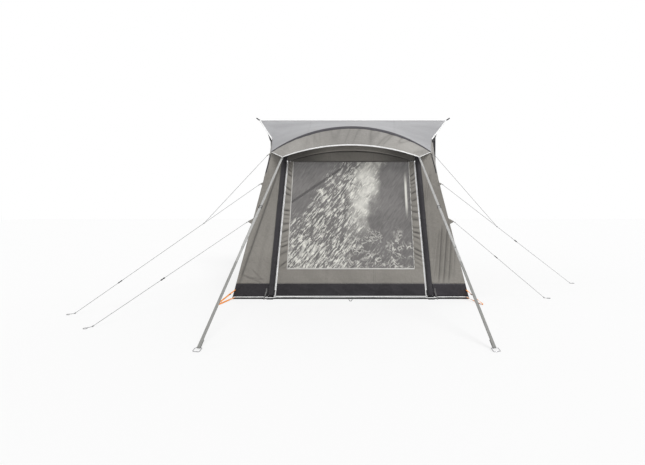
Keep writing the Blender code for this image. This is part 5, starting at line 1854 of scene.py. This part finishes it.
# Each end of a loop on the front, as its height and how far it stands out.
CORNER_STRAP_ENDS = ((0.100, 0.0045), (0.020, 0.0100))
CORNER_TIP = Vector((1.360, FRONT_Y - 0.250, 0.010))
CORNER_TURN_R = 0.006
CORNER_TWIST = 1.15
CORNER_BUCKLE = (0.024, 0.022, 0.006)
CORNER_BUCKLE_SHARE = 0.16
orange_finish = webbing_finish("corner_webbing", (0.82, 0.22, 0.006), (0.98, 0.38, 0.018))
for name, side in SIDES:
    high, low = (front(side * CORNER_STRAP_X, *end) for end in CORNER_STRAP_ENDS)
    tip = mirrored(CORNER_TIP, side)
    plan = Vector((tip.x - high.x, tip.y - high.y, 0)).normalized()
    across = plan.cross(UP)
    path = [high]
    for angle in spread(math.pi / 2, -math.pi / 2, 11):
        path.append(tip + (plan * math.cos(angle) + UP * math.sin(angle)) * CORNER_TURN_R)
    path = dense(path + [low], 0.010)

    def turned_across(k, across=across, rows=len(path) - 1):
        """The webbing twists so that it stands on edge half way along each leg."""
        twist = CORNER_TWIST * math.sin(2 * math.pi * k / rows) ** 2
        return (across * math.cos(twist) + UP * math.sin(twist)) * SMALL_WIDTH

    strap = ("corner_strap_%s_webbing" % name, path, SMALL_WIDTH, turned_across, orange_finish)
    belt(*strap, "orange_webbing", node="corner_strap_" + name)
    seat = path[int(len(path) * CORNER_BUCKLE_SHARE)]
    ladder_buckle("corner_buckle_" + name, seat, path[6] - path[5], across, CORNER_BUCKLE, 3)

# Elastic loop at the middle of the front: black shock cord 5 mm thick, sewn into the hem
# and lying on the ground.
ELASTIC_R = 0.0025
ELASTIC_HEM_Z = 0.014
ELASTIC_GROUND_Z = 0.0028
ELASTIC_Y = FRONT_Y - 0.0038
ELASTIC_HALF = 0.024
ELASTIC_REACH = 0.078
ELASTIC_TURN_R = 0.012
path = [Vector((-ELASTIC_HALF, ELASTIC_Y, ELASTIC_HEM_Z))]
for angle in spread(math.pi, 0, 13):
    way = Vector((math.cos(angle), -math.sin(angle), 0))
    path.append(Vector((0, ELASTIC_Y - ELASTIC_REACH, ELASTIC_GROUND_Z)) + way * ELASTIC_TURN_R)
path.append(Vector((ELASTIC_HALF, ELASTIC_Y, ELASTIC_HEM_Z)))
elastic_finish, wire = finish("shock_cord", Roughness=0.7)
laid = {"Vector": wire.stood(), "Scale": 90.0}
weave = wire.node("ShaderNodeTexWave", {"bands_direction": "DIAGONAL"}, laid)
weave.mix((0.010, 0.010, 0.011), (0.04, 0.04, 0.042)).feed("Base Color")
weave.emboss(0.5, 0.0005)
dress(line("centre_elastic", path, ELASTIC_R, elastic_finish), node="centre_peg_loop")

# Runners: moulded sliders that set each guy's length. The cord passes through the bosses
# at both ends of the bar.
RUNNER_SHARES = {("upper", -1): 0.79, ("upper", 1): 0.54, ("lower", -1): 0.62, ("lower", 1): 0.47}
RUNNER_BAR = (0.0130, 0.037, 0.0078)
BOSS_PLACE = 0.0135
BOSS_R = 0.0078
BOSS_TALL = 0.0088
for name, side in SIDES:
    for level in ("upper", "lower"):
        start, end, flat = guy_run(level, side)
        along = (end - start).normalized()
        across = along.cross(UP).normalized()
        bm = bmesh.new()
        block(bm, RUNNER_BAR, (0, 0, 0), 0.0022, 3)
        for place in (-BOSS_PLACE, BOSS_PLACE):
            cone(bm, BOSS_R, BOSS_R, BOSS_TALL, 24, (0, place, 0))
        seat = start.lerp(end, RUNNER_SHARES[(level, side)])
        turn_to(bm, Matrix((across, along, across.cross(along))).transposed(), seat)
        label = "runner_%s_%s" % (level, name)
        runner = put(label + "_bar", bm, plastic_black, smooth=False)
        dress(runner, label, label)
